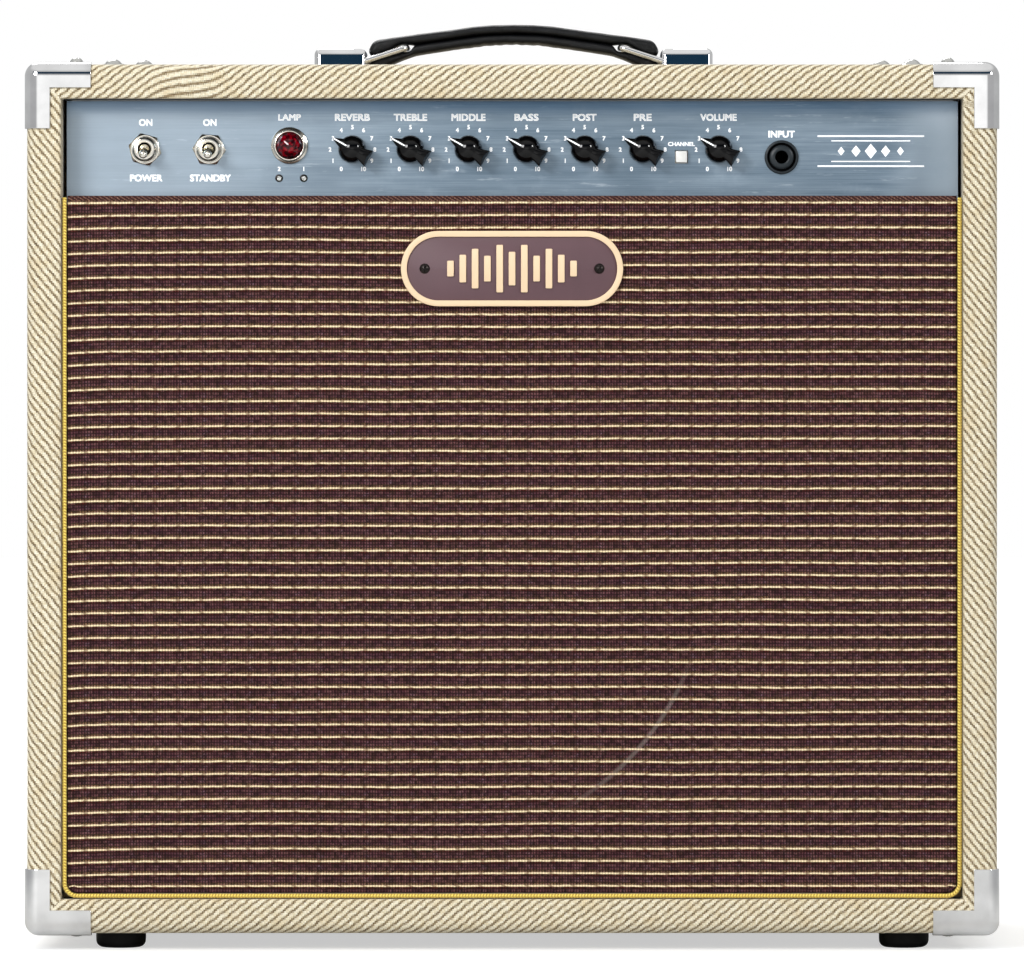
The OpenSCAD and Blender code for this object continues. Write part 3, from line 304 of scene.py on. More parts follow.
def galvanised():
    """Zinc coated steel: a mosaic of crystals, each a little lighter or darker, with faint handling marks."""
    f = Finish("zinc_steel", Metallic=1.0)
    crystal = f.node("TexVoronoi", {"Vector": f.mm, "Scale": 0.16}, output="Color")
    small = f.node("TexVoronoi", {"Vector": f.mm, "Scale": 0.45}, output="Color")
    smear = f.noise(f.mm, 0.03, 4, 0.6)
    tone = f.mad(f.split(crystal)[0], 0.6, f.times(f.split(small)[1], 0.4))
    f.tint(tone, (182, 185, 186), (216, 218, 218))
    f.rough(f.mad(tone, 0.12, f.mad(smear, 0.16, 0.24)))
    f.relief(tone, 0.012, 0.6)


def moulded(name, display, rough=0.4, grain=3.0, relief=0.02, coat=0.0, spread=0.35, gloss=0.5):
    """Moulded or painted surface with a fine grain and slight unevenness."""
    f = Finish(name, Coat_Weight=coat, Coat_Roughness=0.06, Specular_IOR_Level=gloss)
    patch = f.noise(f.mm, 0.08, 3)
    fine = f.noise(f.mm, grain, 3, 0.6)
    light, dim = [tuple(min(1, c * (1 + s)) for c in srgb(*display)[:3]) + (1,) for s in (spread, -spread)]
    f.colour(f.mix(f.mad(fine, 0.4, f.mad(patch, 0.6, 0.0)), dim, light))
    f.rough(f.mad(patch, 0.12, rough - 0.06))
    f.relief(fine, relief)


def pale_floor():
    """A white sweep that grows brighter away from the object, so that it meets the white behind."""
    f = Finish("pale_floor", Roughness=0.8, Specular_IOR_Level=0.1)
    seen = f.node("LightPath", output="Is Camera Ray")
    away = f.node("VectorMath", {0: f.mm}, output="Value", operation="LENGTH")
    soft = f.mad(f.noise(f.mm, 0.004, 2), 0.02, 0.99)
    aside = f.step(f.math("ABSOLUTE", f.split(f.mm)[0]), 420, 900)
    shown = f.mix(aside, srgb(205, 205, 204), srgb(150, 151, 152))
    f.colour(f.mix(seen, shown, srgb(196, 196, 195)))
    glow = f.times(f.mad(f.step(away, 350, 1700), 0.6, 0.56), soft)
    f.set(Emission_Color=(1, 1, 1, 1), Emission_Strength=f.times(glow, seen))


THREAD = 0.85            # width of one twill thread
STRIPE_ALONG = 4.95      # the stripes' pitch along a board
STRIPE_ACROSS = 4.0      # and across it


def tweed():
    """Cream and tan twill: stripes that run aslant, stepped at each thread, under a thin lacquer, with painted
    shade between the thread crowns. Where the cloth turns in to the panel it is painted near black: painted shade
    in the gap round the panel."""
    f = Finish("tweed", Roughness=0.65, Sheen_Weight=0.08, Specular_IOR_Level=0.3)
    cloth = f.weave()
    s, t, _ = f.split(cloth)
    x, y, z = f.split(f.mm)
    drift = f.mad(f.noise(cloth, 0.011, 2), 4.4, -2.2)
    u = f.math("ADD", s, f.math("ADD", drift, f.mad(f.noise(cloth, 0.30, 2), 1.0, -0.5)))
    v = f.math("ADD", t, f.mad(f.noise(cloth, 0.17, 1), 0.9, -0.45))
    u_step = f.math("SNAP", u, THREAD)
    v_step = f.math("SNAP", v, THREAD)
    phase = f.mad(v_step, -1 / STRIPE_ACROSS, f.mad(u_step, 1 / STRIPE_ALONG, 100.0))
    pulled = f.times(f.step(x, -185.0, -142.0), f.step(z, top_z - 22, top_z - 18))
    pulled = f.times(pulled, f.math("LESS_THAN", y, front_y + 3.0))
    across = f.math("FRACT", f.mad(pulled, -5.0, phase))
    dark = f.times(f.step(across, 0.0, 0.14), f.step(across, 0.54, 0.38))
    thread = f.speckle(u_step, v_step)
    worn = f.noise(cloth, 0.06, 3, 0.6)
    relief = f.times(f.wave(u, THREAD), f.wave(v, THREAD))
    cream = f.mix(thread, srgb(230, 217, 183), srgb(250, 244, 223))
    cream = f.mix(f.step(worn, 0.5, 0.8), cream, srgb(230, 212, 174))
    brown = f.mix(thread, srgb(96, 77, 49), srgb(154, 134, 96))
    colour = f.mix(f.times(dark, 0.95), cream, brown)
    # painted shade: darker between the thread crowns
    colour = f.mix(f.mad(relief, -0.34, 0.26), colour, srgb(92, 74, 46))
    # painted shade: the lining goes near black deep in the recess, over a deeper band at the top and bottom than at
    # the sides
    inner = f.mad(f.step(f.math("ABSOLUTE", x), open_x - 1.2, open_x - 0.2), -13.0, 24.0)
    f.colour(f.mix(f.step(t, inner, f.math("ADD", inner, -3.0)), colour, srgb(14, 11, 9)))
    rib = f.mad(dark, -0.10, f.times(relief, 0.14))
    f.bump(f.mad(worn, 0.25, rib), 0.9)


ROW = 1.5655             # pitch of the grille cloth's rows; a gold yarn is every fourth one
GOLD = 4 * ROW
WARP = 1.45              # pitch of the upright threads
FLOAT = 11.75            # distance between the places where the gold yarn dips under
SHOWN_RIM_R = 138.0      # radius of the speaker's rim, which shows faintly through it


def oxblood_rows(f, cloth, u, v, sway, fuzz, warp, weft):
    """The colour between the gold yarns: oxblood, plum and tan rows with specks, odd threads and dark gaps."""
    slow = f.noise(cloth, 0.02, 2)
    place = f.math("MODULO", f.math("DIVIDE", v, ROW), 4.0)
    blood = f.mix(slow, srgb(78, 29, 25), srgb(98, 43, 35))
    plum = f.mix(slow, srgb(80, 44, 58), srgb(94, 54, 58))
    tan = f.mix(fuzz, srgb(74, 48, 36), srgb(160, 124, 88))
    rows = f.mix(f.step(place, 0.9, 1.4), blood, plum)
    rows = f.mix(f.step(place, 2.5, 3.1), rows, tan)
    speck = f.times(f.step(f.nearest(sway, FLOAT), 1.9, 0.4), f.step(fuzz, 0.46, 0.62))
    speck = f.times(speck, f.times(f.step(place, 1.2, 1.6), f.step(place, 3.0, 2.5)))
    thread = f.speckle(f.math("SNAP", u, WARP), f.math("SNAP", v, ROW))
    gap = f.math("MAXIMUM", f.step(warp, 0.55, 0.15), f.step(weft, 0.40, 0.05))
    for amount, share, display in ((speck, 0.55, (142, 120, 136)),
                                   (f.step(f.noise(cloth, 0.22, 2), 0.45, 0.7), 0.6, (72, 50, 36)),
                                   (f.step(thread, 0.55, 0.95), 0.55, (128, 86, 86)),
                                   (f.step(thread, 0.38, 0.05), 0.55, (34, 18, 20)),
                                   (gap, 0.88, (22, 13, 11)),
                                   (f.step(fuzz, 0.55, 0.35), 0.5, (30, 18, 16))):
        rows = f.mix(f.times(amount, share), rows, srgb(*display))
    return rows


def oxblood():
    """Oxblood and plum rows between gold yarns, held by fine dark upright threads."""
    f = Finish("grille_fabric", Roughness=0.85, Specular_IOR_Level=0.12)
    cloth = f.weave()
    u, v, _ = f.split(cloth)
    x, _, z = f.split(f.mm)
    fuzz = f.noise(cloth, 1.3, 3, 0.7)
    v = f.mad(fuzz, 0.5, f.mad(f.noise(cloth, 0.16, 2), 0.5, f.math("ADD", v, -0.5)))
    weft = f.wave(v, ROW, -math.pi / 2)
    warp = f.wave(f.mad(fuzz, 0.9, u), WARP)
    sway = f.mad(f.noise(f.join(0.0, v), 0.5, 0), 5.0, u)
    rows = oxblood_rows(f, cloth, u, v, sway, fuzz, warp, weft)
    off = f.nearest(v, GOLD)
    yarn = f.step(off, 0.60, 0.38)
    dip = f.times(f.step(f.nearest(f.mad(fuzz, 2.4, sway), FLOAT), 1.7, 0.4), 0.65)
    crown = f.mad(warp, 0.6, 0.4)
    gold = f.mix(crown, srgb(160, 118, 72), srgb(250, 236, 198))
    gold = f.mix(f.times(f.step(off, 0.25, 0.58), 0.6), gold, srgb(150, 98, 52))
    gold = f.mix(dip, gold, srgb(96, 60, 34))
    colour = f.mix(yarn, rows, gold)
    # the speaker's rim showing faintly through the cloth, lighter only on its lower right arc: partly real, partly
    # a painted highlight
    places = {0: f.join(x, 0.0, z), 1: (speaker_x, 0, speaker_z)}
    ring = f.node("VectorMath", places, output="Value", operation="DISTANCE")
    rim = f.step(f.math("ABSOLUTE", f.math("ADD", ring, -SHOWN_RIM_R)), 1.6, 0.3)
    rim = f.times(rim, f.times(f.step(x, 20, 60), f.step(z, 150, 120)))
    colour = f.mix(f.times(rim, 0.14), colour, srgb(200, 190, 180))
    fold = f.step(f.mad(fuzz, 1.4, z), cloth_high.z - 2.4, cloth_high.z - 1.2)
    twist = f.step(f.wave(f.mad(z, 1.6, f.mad(fuzz, 1.2, u)), 2.7), 0.35, 0.8)
    twist = f.times(twist, f.step(fuzz, 0.35, 0.65))
    f.colour(f.mix(f.times(fold, 0.85), colour, f.mix(twist, srgb(48, 22, 22), srgb(140, 104, 88))))
    f.bump(f.mad(fuzz, 0.15, f.mad(yarn, 0.35, f.times(f.times(weft, crown), 0.3))), 0.8)


def gold_cord():
    """Woven gold piping with fine bright and dark wraps."""
    f = Finish("gold_cord", Roughness=0.5, Sheen_Weight=0.3)
    s, turn, _ = f.split(f.weave())
    wrap = f.wave(f.mad(turn, 0.35, s), 1.5)
    fine = f.noise(f.mm, 1.4, 3)
    f.tint(f.times(f.mad(fine, 0.3, 0.7), wrap), (170, 128, 26), (255, 234, 112))
    f.bump(f.mad(wrap, 0.10, f.times(fine, 0.05)))


def brushed_panel():
    """Anodised aluminium brushed from end to end, with painted reflection in its colour: lighter towards its left
    and at its right end, darker patches towards the middle and right, and a blue band along its top.
    """
    f = Finish("brushed_panel", Metallic=1.0, Anisotropic=0.5)
    x, _, z = f.split(f.mm)
    streak = f.noise(f.stretch(f.mm, 0.012, 1, 2.0), 1.0, 5, 0.85)
    scuff = f.noise(f.stretch(f.mm, 0.05, 1, 0.5), 0.7, 4, 0.7)
    broad = f.noise(f.stretch(f.mm, 0.02, 1, 0.14), 1.0, 3)
    smudge = f.noise(f.mm, 0.045, 4, 0.6)
    # painted reflection: darker patches, laid on more strongly towards the middle and right
    dim_reflection = f.noise(f.stretch(f.mm, 1, 1, 0.7), 0.014, 2)
    shade = f.mad(streak, 0.6, f.times(broad, 0.4))
    colour = f.mix(f.step(shade, 0.30, 0.70), srgb(104, 123, 139), srgb(150, 167, 181))
    # painted reflection: lighter towards the left and at the right end
    ends = f.mad(f.step(x, -20, -205), 0.62, f.times(f.step(x, 186, 222), 0.95))
    right = f.mad(f.step(x, -150, 0), 0.35, 0.05)
    # painted reflection: a blue band along the top edge, under the recess's lip
    crown = f.times(f.step(z, panel_high.z - 9, panel_high.z - 1), 0.5)
    for factor, display in ((ends, (186, 200, 212)),
                            (f.times(f.step(smudge, 0.52, 0.75), 0.35), (168, 184, 198)),
                            (f.times(f.step(scuff, 0.60, 0.72), 0.4), (210, 222, 232)),
                            (f.times(f.step(dim_reflection, 0.46, 0.66), right), (98, 116, 130)),
                            (crown, (84, 122, 158))):
        colour = f.mix(factor, colour, srgb(*display))
    f.colour(colour)
    f.rough(f.mad(streak, 0.14, f.mad(smudge, 0.12, 0.22)))
    f.relief(streak, 0.01, 0.7)


def white_print():
    # the print glows faintly: painted light that keeps it bright white
    f = Finish("white_print", Roughness=0.45, Emission_Color=(1, 1, 1, 1), Emission_Strength=0.28)
    f.tint(f.noise(f.mm, 1.5, 2), (236, 242, 246), (255, 255, 255))


def plywood():
    """Birch faces with fine grain, and a hint of the plies where an edge shows."""
    f = Finish("plywood", Roughness=0.6)
    x, _, z = f.split(f.mm)
    grain = f.noise(f.stretch(f.mm, 0.35, 0.04, 0.35), 1.0, 5, 0.6)
    ply = f.wave(f.math("ADD", x, z), 2.6)
    pale = f.mix(grain, srgb(196, 164, 116), srgb(228, 202, 158))
    f.colour(f.mix(f.times(ply, 0.18), pale, srgb(150, 112, 70)))
    f.relief(grain, 0.08)


def vinyl():
    """Black padded vinyl with a leather grain, a little shiny where hands have worn it."""
    f = Finish("black_vinyl", Specular_IOR_Level=0.22)
    cells = f.node("TexVoronoi", {"Vector": f.mm, "Scale": 1.1}, feature="DISTANCE_TO_EDGE")
    soft = f.noise(f.mm, 0.12, 3)
    f.tint(soft, (5, 6, 8), (15, 16, 18))
    f.rough(f.mad(soft, 0.2, 0.32))
    f.bump(f.mad(f.step(cells, 0.0, 0.22), 0.07, f.times(soft, 0.3)), 0.8)


def lens_red():
    f = Finish("red_glass", Roughness=0.03, Specular_IOR_Level=0.5)
    deep = f.noise(f.mm, 0.5, 2)
    f.tint(f.step(deep, 0.40, 0.62), (42, 0, 5), (132, 1, 20))
    f.relief(deep, 0.02)


def clear_glass():
    f = Finish("clear_glass", Roughness=0.02, Transmission_Weight=1.0, IOR=1.47)
    f.tint(f.noise(f.mm, 0.1, 2), (240, 244, 242), (252, 254, 252))


def paper_cone():
    """Pressed paper with short fibres."""
    f = Finish("cone_paper", Roughness=0.85)
    fibre = f.noise(f.stretch(f.mm, 1, 0.3, 1), 0.8, 5, 0.7)
    f.tint(fibre, (38, 36, 34), (74, 70, 66))
    f.relief(fibre, 0.15)


def treated(name, dark, light):
    """Woven cloth stiffened with resin."""
    f = Finish(name, Roughness=0.7)
    x, _, z = f.split(f.mm)
    net = f.times(f.wave(x, 0.9), f.wave(z, 0.9))
    f.tint(net, dark, light)
    f.relief(net, 0.1)


def laminate():
    """Glass-epoxy board under a green mask, mottled by the weave and the tracks beneath."""
    f = Finish("board_green", Roughness=0.3, Coat_Weight=0.4, Coat_Roughness=0.1)
    y = f.split(f.mm)[1]
    track = f.step(f.nearest(f.mad(f.noise(f.mm, 0.03, 1), 12.0, y), 5.0), 0.9, 0.7)
    f.tint(track, (14, 74, 40), (28, 108, 60))
    f.relief(track, 0.05)


def make_finishes():
    """Every material slot of the record, and a few for what only the visual shows."""
    for maker in (plywood, tweed, oxblood, gold_cord, galvanised, paper_cone, brushed_panel, lens_red, clear_glass,
                  laminate, vinyl, white_print):
        maker()
    treated("treated_cloth", (120, 84, 42), (176, 136, 84))
    treated("treated_cloth_dark", (30, 28, 26), (58, 54, 50))
    metal("chrome_plate", (248, 248, 248), 0.07, 0.04, 0.5, 0.002, 0.8)
    metal("steel_bright", (214, 214, 210), 0.2, 0.08)
    metal("steel_dark", (60, 56, 54), 0.35, 0.1)
    metal("copper", (214, 130, 80), 0.3, 0.1)
    metal("nickel", (246, 242, 230), 0.20, 0.06, 0.8)
    metal("getter", (92, 92, 98), 0.12, 0.05)
    moulded("black_board", (38, 35, 33), 0.75, 1.2, 0.06)
    moulded("black_rubber", (9, 9, 10), 0.6, 2.2, 0.05, gloss=0.2)
    moulded("badge_enamel", (230, 202, 166), 0.5, 2.5, 0.01, spread=0.05)
    moulded("badge_field", (92, 66, 72), 0.55, 2.5, 0.012, spread=0.2)
    moulded("painted_steel", (36, 36, 38), 0.42, 2.0, 0.02)
    moulded("gasket_card", (176, 140, 100), 0.85, 0.9, 0.12)
    moulded("ferrite", (52, 52, 55), 0.7, 1.5, 0.06)
    moulded("cap_felt", (150, 142, 130), 0.9, 1.0, 0.12)
    moulded("black_plastic", (38, 44, 48), 0.35, 2.0, 0.015, gloss=0.25)
    moulded("knob_black", (6, 6, 7), 0.07, 1.2, 0.003, gloss=0.3)
    moulded("white_plastic", (242, 242, 238), 0.3, 2.0, 0.008, 0.2, 0.04)
    moulded("black_enamel", (26, 26, 27), 0.35, 1.2, 0.03, 0.2)
    moulded("ceramic_white", (236, 232, 220), 0.25, 2.0, 0.008, 0.4, 0.05)
    moulded("lead_sleeve", (120, 26, 20), 0.4, 1.5, 0.02)
    # near black for the insides of holes and grooves: painted shade
    moulded("painted_shade_black", (5, 5, 6), 0.8, 2.0, 0.02, gloss=0.05)


# ---- Shapes: points in millimetres and faces ----

def turns(count):
    """Angles that divide a whole turn evenly."""
    return [2 * math.pi * k / count for k in range(count)]


def lathe(profile, sides=48):
    """A profile of (radius, height) points turned about local Z. A radius of 0 closes it to a point."""
    points, rows, faces = [], [], []
    for radius, height in profile:
        if radius < 1e-6:
            rows.append([len(points)] * sides)
            points.append((0, 0, height))
        else:
            rows.append(list(range(len(points), len(points) + sides)))
            points += [(radius * math.cos(a), radius * math.sin(a), height) for a in turns(sides)]
    for low, high in zip(rows, rows[1:]):
        for k in range(sides):
            n = (k + 1) % sides
            face = list(dict.fromkeys([low[k], low[n], high[n], high[k]]))
            if len(face) > 2:
                faces.append(face)
    return points, faces


def loft(rings, caps=True, joined=False):
    """Rings of equal length joined in order, with flat ends or joined end to end."""
    m = len(rings[0])
    points = [p for ring in rings for p in ring]
    faces = []
    last = len(rings) if joined else len(rings) - 1
    for i in range(last):
        a, b = i * m, (i + 1) % len(rings) * m
        faces += [[a + k, a + (k + 1) % m, b + (k + 1) % m, b + k] for k in range(m)]
    if caps and not joined:
        faces.append(list(range(m))[::-1])
        faces.append([(len(rings) - 1) * m + k for k in range(m)])
    return points, faces


def grid_faces(rows, columns, flip=False):
    """Faces between the points of a grid that is given row by row."""
    cells = [(i * columns + k, (i + 1) * columns + k) for i in range(rows - 1) for k in range(columns - 1)]
    return [[a, b, b + 1, a + 1] if flip else [a, a + 1, b + 1, b] for a, b in cells]


def inset(outline, d):
    """A closed outline moved inwards by d, by its mitres. The outline runs anticlockwise."""
    made = []
    for i, p in enumerate(outline):
        before = Vector(p) - Vector(outline[i - 1])
        after = Vector(outline[(i + 1) % len(outline)]) - Vector(p)
        a = Vector((-before.y, before.x)).normalized()
        b = Vector((-after.y, after.x)).normalized()
        across = (a + b) / max(1 + a.dot(b), 0.2)
        made.append((p[0] + across.x * d, p[1] + across.y * d))
    return made


def stack(outlines, joined=False):
    """Flat outlines joined in order, each at its height: (outline, height) pairs."""
    return loft([[(x, y, height) for x, y in outline] for outline, height in outlines], joined=joined)


def plate(outline, levels):
    """An outline carried through (height, inset) levels, which rounds or chamfers its edges."""
    return stack([(inset(outline, d), height) for height, d in levels])


def soft_plate(outline, low, high, r):
    """A plate with small rounded edges."""
    return plate(outline, [(low, r), (low + r * 0.3, r * 0.3), (low + r, 0),
                           (high - r, 0), (high - r * 0.3, r * 0.3), (high, r)])


def round_rect(w, h, r, steps=5):
    made = []
    for quarter, (x, y) in enumerate([(1, 1), (-1, 1), (-1, -1), (1, -1)]):
        for k in range(steps + 1):
            a = math.radians(90 * (quarter + k / steps))
            made.append((x * (w / 2 - r) + r * math.cos(a), y * (h / 2 - r) + r * math.sin(a)))
    return made


def stadium(w, h, steps=16):
    return round_rect(w, h, h / 2 - 0.001, steps)


def arc(cx, cy, r, start, end, steps):
    angles = [math.radians(start + (end - start) * k / steps) for k in range(steps + 1)]
    return [(cx + r * math.cos(a), cy + r * math.sin(a)) for a in angles]


def nut(across_flats, h, hole_r, bevel=0.9, sides=72):
    """A hexagonal nut with its corners turned off at the top."""
    flat_r, corner = across_flats / 2, across_flats / math.sqrt(3)

    def ring(height, cap):
        """The hexagon's outline at a height, turned down to a radius of cap."""
        made = []
        for a in turns(sides):
            r = min(flat_r / math.cos((a + math.pi / 6) % (math.pi / 3) - math.pi / 6), cap)
            made.append((r * math.cos(a), r * math.sin(a), height))
        return made

    rings = [ring(0, corner), ring(h - bevel, corner)]
    rings += [ring(h - bevel + bevel * f, corner + 0.05 - (corner - flat_r + 0.35) * f)
              for f in (0.25, 0.5, 0.75, 1)]
    rings += [ring(h, hole_r + 0.4), ring(h - 0.35, hole_r), ring(0, hole_r)]
    return loft(rings, joined=True)


def tube(path, radius, sides=14, joined=False):
    """A round tube along a path. The radius may depend on the distance along it and the angle round it."""
    path = [Vector(p) for p in path]
    count = len(path)
    rings, travelled, side = [], 0.0, None
    for i, p in enumerate(path):
        before = path[i - 1] if i or joined else p
        after = path[(i + 1) % count] if i < count - 1 or joined else p
        along = (after - before).normalized()
        if side is None:
            side = along.orthogonal().normalized()
        side = (side - along * side.dot(along)).normalized()
        other = along.cross(side)
        travelled += (p - path[i - 1]).length if i else 0.0
        ring = []
        for a in turns(sides):
            r = radius(travelled, a) if callable(radius) else radius
            ring.append(tuple(p + r * (side * math.cos(a) + other * math.sin(a))))
        rings.append(ring)
    return loft(rings, joined=joined)


def grid_lines(a, b, r, extra, arc, pitch):
    """The places of a shell's grid lines along one axis, closer together over its rounded edges."""
    zone = [r - r * math.tan(math.radians(45 * k / arc)) for k in range(arc, -1, -1)]
    count = max(1, math.ceil((b - a - 2 * r) / pitch))
    places = [a + z for z in zone] + [b - z for z in zone] + list(extra)
    places += [a + r + (b - a - 2 * r) * k / count for k in range(count + 1)]
    return sorted({round(place, 5) for place in places})


def shell(low, high, r, cuts=((), (), ()), keep=None, arc=4, pitch=1e9):
    """The skin of a box with rounded edges, as six grids that share their edge points. cuts are extra grid
    lines along each axis, and keep(axis, side, corners) gives the corners of a cell that stay."""
    low, high = Vector(low), Vector(high)
    lines = [grid_lines(low[i], high[i], r, cuts[i], arc, pitch) for i in range(3)]
    inner_low, inner_high = low + Vector((r, r, r)), high - Vector((r, r, r))

    def rounded(q):
        core = Vector([min(max(q[i], inner_low[i]), inner_high[i]) for i in range(3)])
        out = Vector(q) - core
        return core + out.normalized() * r if out.length > 1e-9 else Vector(q)

    points, faces, index = [], [], {}

    def add_cell(axis, side, corners):
        kept = keep(axis, side, corners) if keep else corners
        if len(kept) < 3:
            return
        for q in kept:
            if q not in index:
                index[q] = len(points)
                points.append(tuple(rounded(q)))
        face = [index[q] for q in kept]
        faces.append(face[::-1] if (side == 0) != (axis == 1) else face)

    for axis in range(3):
        u, v = [i for i in range(3) if i != axis]
        for side in (0, 1):
            for u0, u1 in zip(lines[u], lines[u][1:]):
                for v0, v1 in zip(lines[v], lines[v][1:]):
                    corners = []
                    for a, b in ((u0, v0), (u1, v0), (u1, v1), (u0, v1)):
                        q = {axis: (low, high)[side][axis], u: a, v: b}
                        corners.append((q[0], q[1], q[2]))
                    add_cell(axis, side, corners)
    return points, faces


def soft_box(size, r, arc=3):
    """A closed box with rounded edges, centred in X and Y and standing on local z 0."""
    w, d, h = size
    return shell((-w / 2, -d / 2, 0), (w / 2, d / 2, h), r, arc=arc)


def dome_head(r, h, sides=64, rows=16):
    """A domed screw head with a cross recess, on local z 0."""
    ball = (r * r + h * h) / (2 * h)
    rings = []
    for i in range(rows + 1):
        rho = r * math.sin(math.pi / 2 * (1 - i / rows))
        ring = []
        for a in turns(sides):
            x, y = rho * math.cos(a), rho * math.sin(a)
            z = h - ball + math.sqrt(max(ball * ball - rho * rho, 0))
            arm, reach = min(abs(x), abs(y)), max(abs(x), abs(y))
            if arm < r * 0.13 and reach < r * 0.52:
                z -= h * 0.55 * min(1, (r * 0.56 - reach) / (r * 0.16))
            ring.append((x, y, max(z, 0)))
        rings.append(ring)
    return loft(rings, caps=False)


def turned(shape, degrees):
    """A shape turned about its local Z."""
    c, s = math.cos(math.radians(degrees)), math.sin(math.radians(degrees))
    return [(x * c - y * s, x * s + y * c, z) for x, y, z in shape[0]], shape[1]


def moved(shape, x=0, y=0, z=0):
    return [(a + x, b + y, c + z) for a, b, c in shape[0]], shape[1]


def between(stations, y):
    """The value at y from a list of (y, value) stations."""
    for (y0, w0), (y1, w1) in zip(stations, stations[1:]):
        if y <= y1:
            return w0 + (w1 - w0) * max(0.0, (y - y0) / (y1 - y0))
    return stations[-1][1]


class Shape:
    """A piece in the making, from shapes put in place. kind is the number of a material of the piece."""

    def __init__(self):
        self.mesh = bmesh.new()
        self.weave = self.mesh.loops.layers.uv.new("weave")

    def add(self, shape, at=(0, 0, 0), turn=UP, kind=0, weave=None, flat=False):
        points, faces = shape
        at = Vector(at)
        made = [self.mesh.verts.new((turn @ Vector(p) + at) * MM) for p in points]
        for face in faces:
            corners = list(dict.fromkeys(face))
            if len(corners) < 3:
                continue
            new = self.mesh.faces.new([made[i] for i in corners])
            new.material_index = kind
            new.smooth = not flat
            if weave:
                for loop, i in zip(new.loops, corners):
                    loop[self.weave].uv = weave[i]
        return self

    def make(self, name, *slots, sharp=38, outward=False):
        """The piece, with the finishes of these slots. Edges sharper than an angle in degrees stay crisp."""
        bmesh.ops.remove_doubles(self.mesh, verts=self.mesh.verts, dist=5e-7)
        bmesh.ops.dissolve_degenerate(self.mesh, edges=self.mesh.edges, dist=1e-7)
        if outward:
            bmesh.ops.recalc_face_normals(self.mesh, faces=self.mesh.faces)
        data = bpy.data.meshes.new(name)
        self.mesh.to_mesh(data)
        self.mesh.free()
        data.set_sharp_from_angle(angle=math.radians(sharp))
        for slot in slots:
            data.materials.append(finish[slot])
        made = bpy.data.objects.new(name, data)
        link(made)
        return made


def thicken(piece, thickness):
    """Gives a skin its thickness, inwards from its surface, with crisp rims."""
    modifier = piece.modifiers.new("thickness", "SOLIDIFY")
    modifier.thickness = thickness * MM
    modifier.offset = -1.0
    solid = bpy.data.meshes.new_from_object(piece.evaluated_get(bpy.context.evaluated_depsgraph_get()))
    piece.modifiers.clear()
    piece.data = solid
    solid.set_sharp_from_angle(angle=math.radians(50))


def soften(piece, width):
    """Rounds a piece's sharp rims a little."""
    modifier = piece.modifiers.new("worn_edges", "BEVEL")
    modifier.width = width * MM
    modifier.segments = 2
    modifier.limit_method = "ANGLE"
    modifier.angle_limit = math.radians(50)
    modifier.harden_normals = True


def install(piece, body, slot, *nodes):
    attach(piece, body)
    if nodes:
        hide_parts(*nodes)


# ---- Cabinet ----

EDGE_R = 6.0    # the cabinet's rounded edges, over the covering
LIP_R = 1.5     # the covering's turn into an opening


def cover_section():
    """The covering's section, from inside the front opening, over the front, along the outside and into the
    back opening, as (distance out from the opening, y)."""
    edge, lip, straight = EDGE_R, LIP_R, 24
    section = [(0, panel_y + 4), (0, panel_y)]
    section += arc(lip, front_y + lip, lip, 180, 270, 4)
    section += [(5, front_y)]
    section += arc(lining_t - edge, front_y + edge, edge, 270, 360, 7)
    section += [(lining_t, front_y + straight), (lining_t, 0), (lining_t, back_y - straight)]
    section += arc(lining_t - edge, back_y - edge, edge, 0, 90, 7)
    section += [(5, back_y)]
    section += arc(lip, back_y - lip, lip, 90, 180, 4)
    return section + [(0, box_mm("back_panel_upper")[0].y - 1)]


def make_tweed():
    """One cloth round all four boards."""
    section = cover_section()
    half_h = (open_z1 - open_z0) / 2
    mid_z = (open_z1 + open_z0) / 2
    boards = [  # half length and distance of the opening, and the directions along and out of the board
        (open_x, half_h, (1, 0), (0, 1)), (half_h, open_x, (0, -1), (1, 0)),
        (open_x, half_h, (-1, 0), (0, -1)), (half_h, open_x, (0, 1), (-1, 0)),
    ]
    cloth = Shape()
    for half, reach, along, out in boards:
        points, weave, travelled = [], [], 0.0
        count = round(half / 6)
        for i, (d, y) in enumerate(section):
            if i:
                travelled += math.dist(section[i - 1], (d, y))
            r = max(0.0, d - (lining_t - EDGE_R))
            corner = [(half + d - r + r * math.sin(a), r - r * math.cos(a))
                      for a in (math.radians(45 * k / 4) for k in range(5))]
            straight = [-half + 2 * half * k / count for k in range(count + 1)]
            line = [(-s, drop) for s, drop in corner[::-1]] + [(s, 0.0) for s in straight] + corner
            for s, drop in line:
                o = reach + d - drop
                points.append((along[0] * s + out[0] * o, y, mid_z + along[1] * s + out[1] * o))
                weave.append((s, travelled))
        cloth.add((points, grid_faces(len(section), len(line))), weave=weave)
    piece = cloth.make("tweed_wrap", "tweed")
    thicken(piece, 0.6)
    install(piece, "cabinet", "tweed", "tweed_covering")


def make_guards():
    """Eight pressed corner protectors, cut from one rounded skin 1.2 mm outside the cabinet."""
    low, high = box_mm("corner_protectors")
    arm, notch, reach, count = 13.117, 9.0, 33.7, 6
    steps = [notch + (reach - notch) * k / count for k in range(count + 1)]
    cuts = [[low[i] + s for s in steps] + [high[i] - s for s in steps] for i in range(3)]

    def keep(axis, side, corners):
        """An L on the front and back, and a square with its corner cut off on the other faces."""
        u, v = [i for i in range(3) if i != axis]
        near = [(min(q[u] - low[u], high[u] - q[u]), min(q[v] - low[v], high[v] - q[v])) for q in corners]
        a = sum(n[0] for n in near) / 4
        b = sum(n[1] for n in near) / 4
        if max(a, b) > reach - 0.05:
            return []
        if axis == 1:
            return corners if min(a, b) < arm else []
        return [q for q, n in zip(corners, near) if n[0] + n[1] < reach + notch + 0.01]

    guards = Shape()
    guards.add(shell(low, high, 7.2, cuts, keep, arc=6))
    piece = guards.make("corner_guards", "chrome_plate", sharp=60)
    thicken(piece, 1.15)
    soften(piece, 0.3)
    install(piece, "cabinet", "chrome_plate", "corner_protectors")


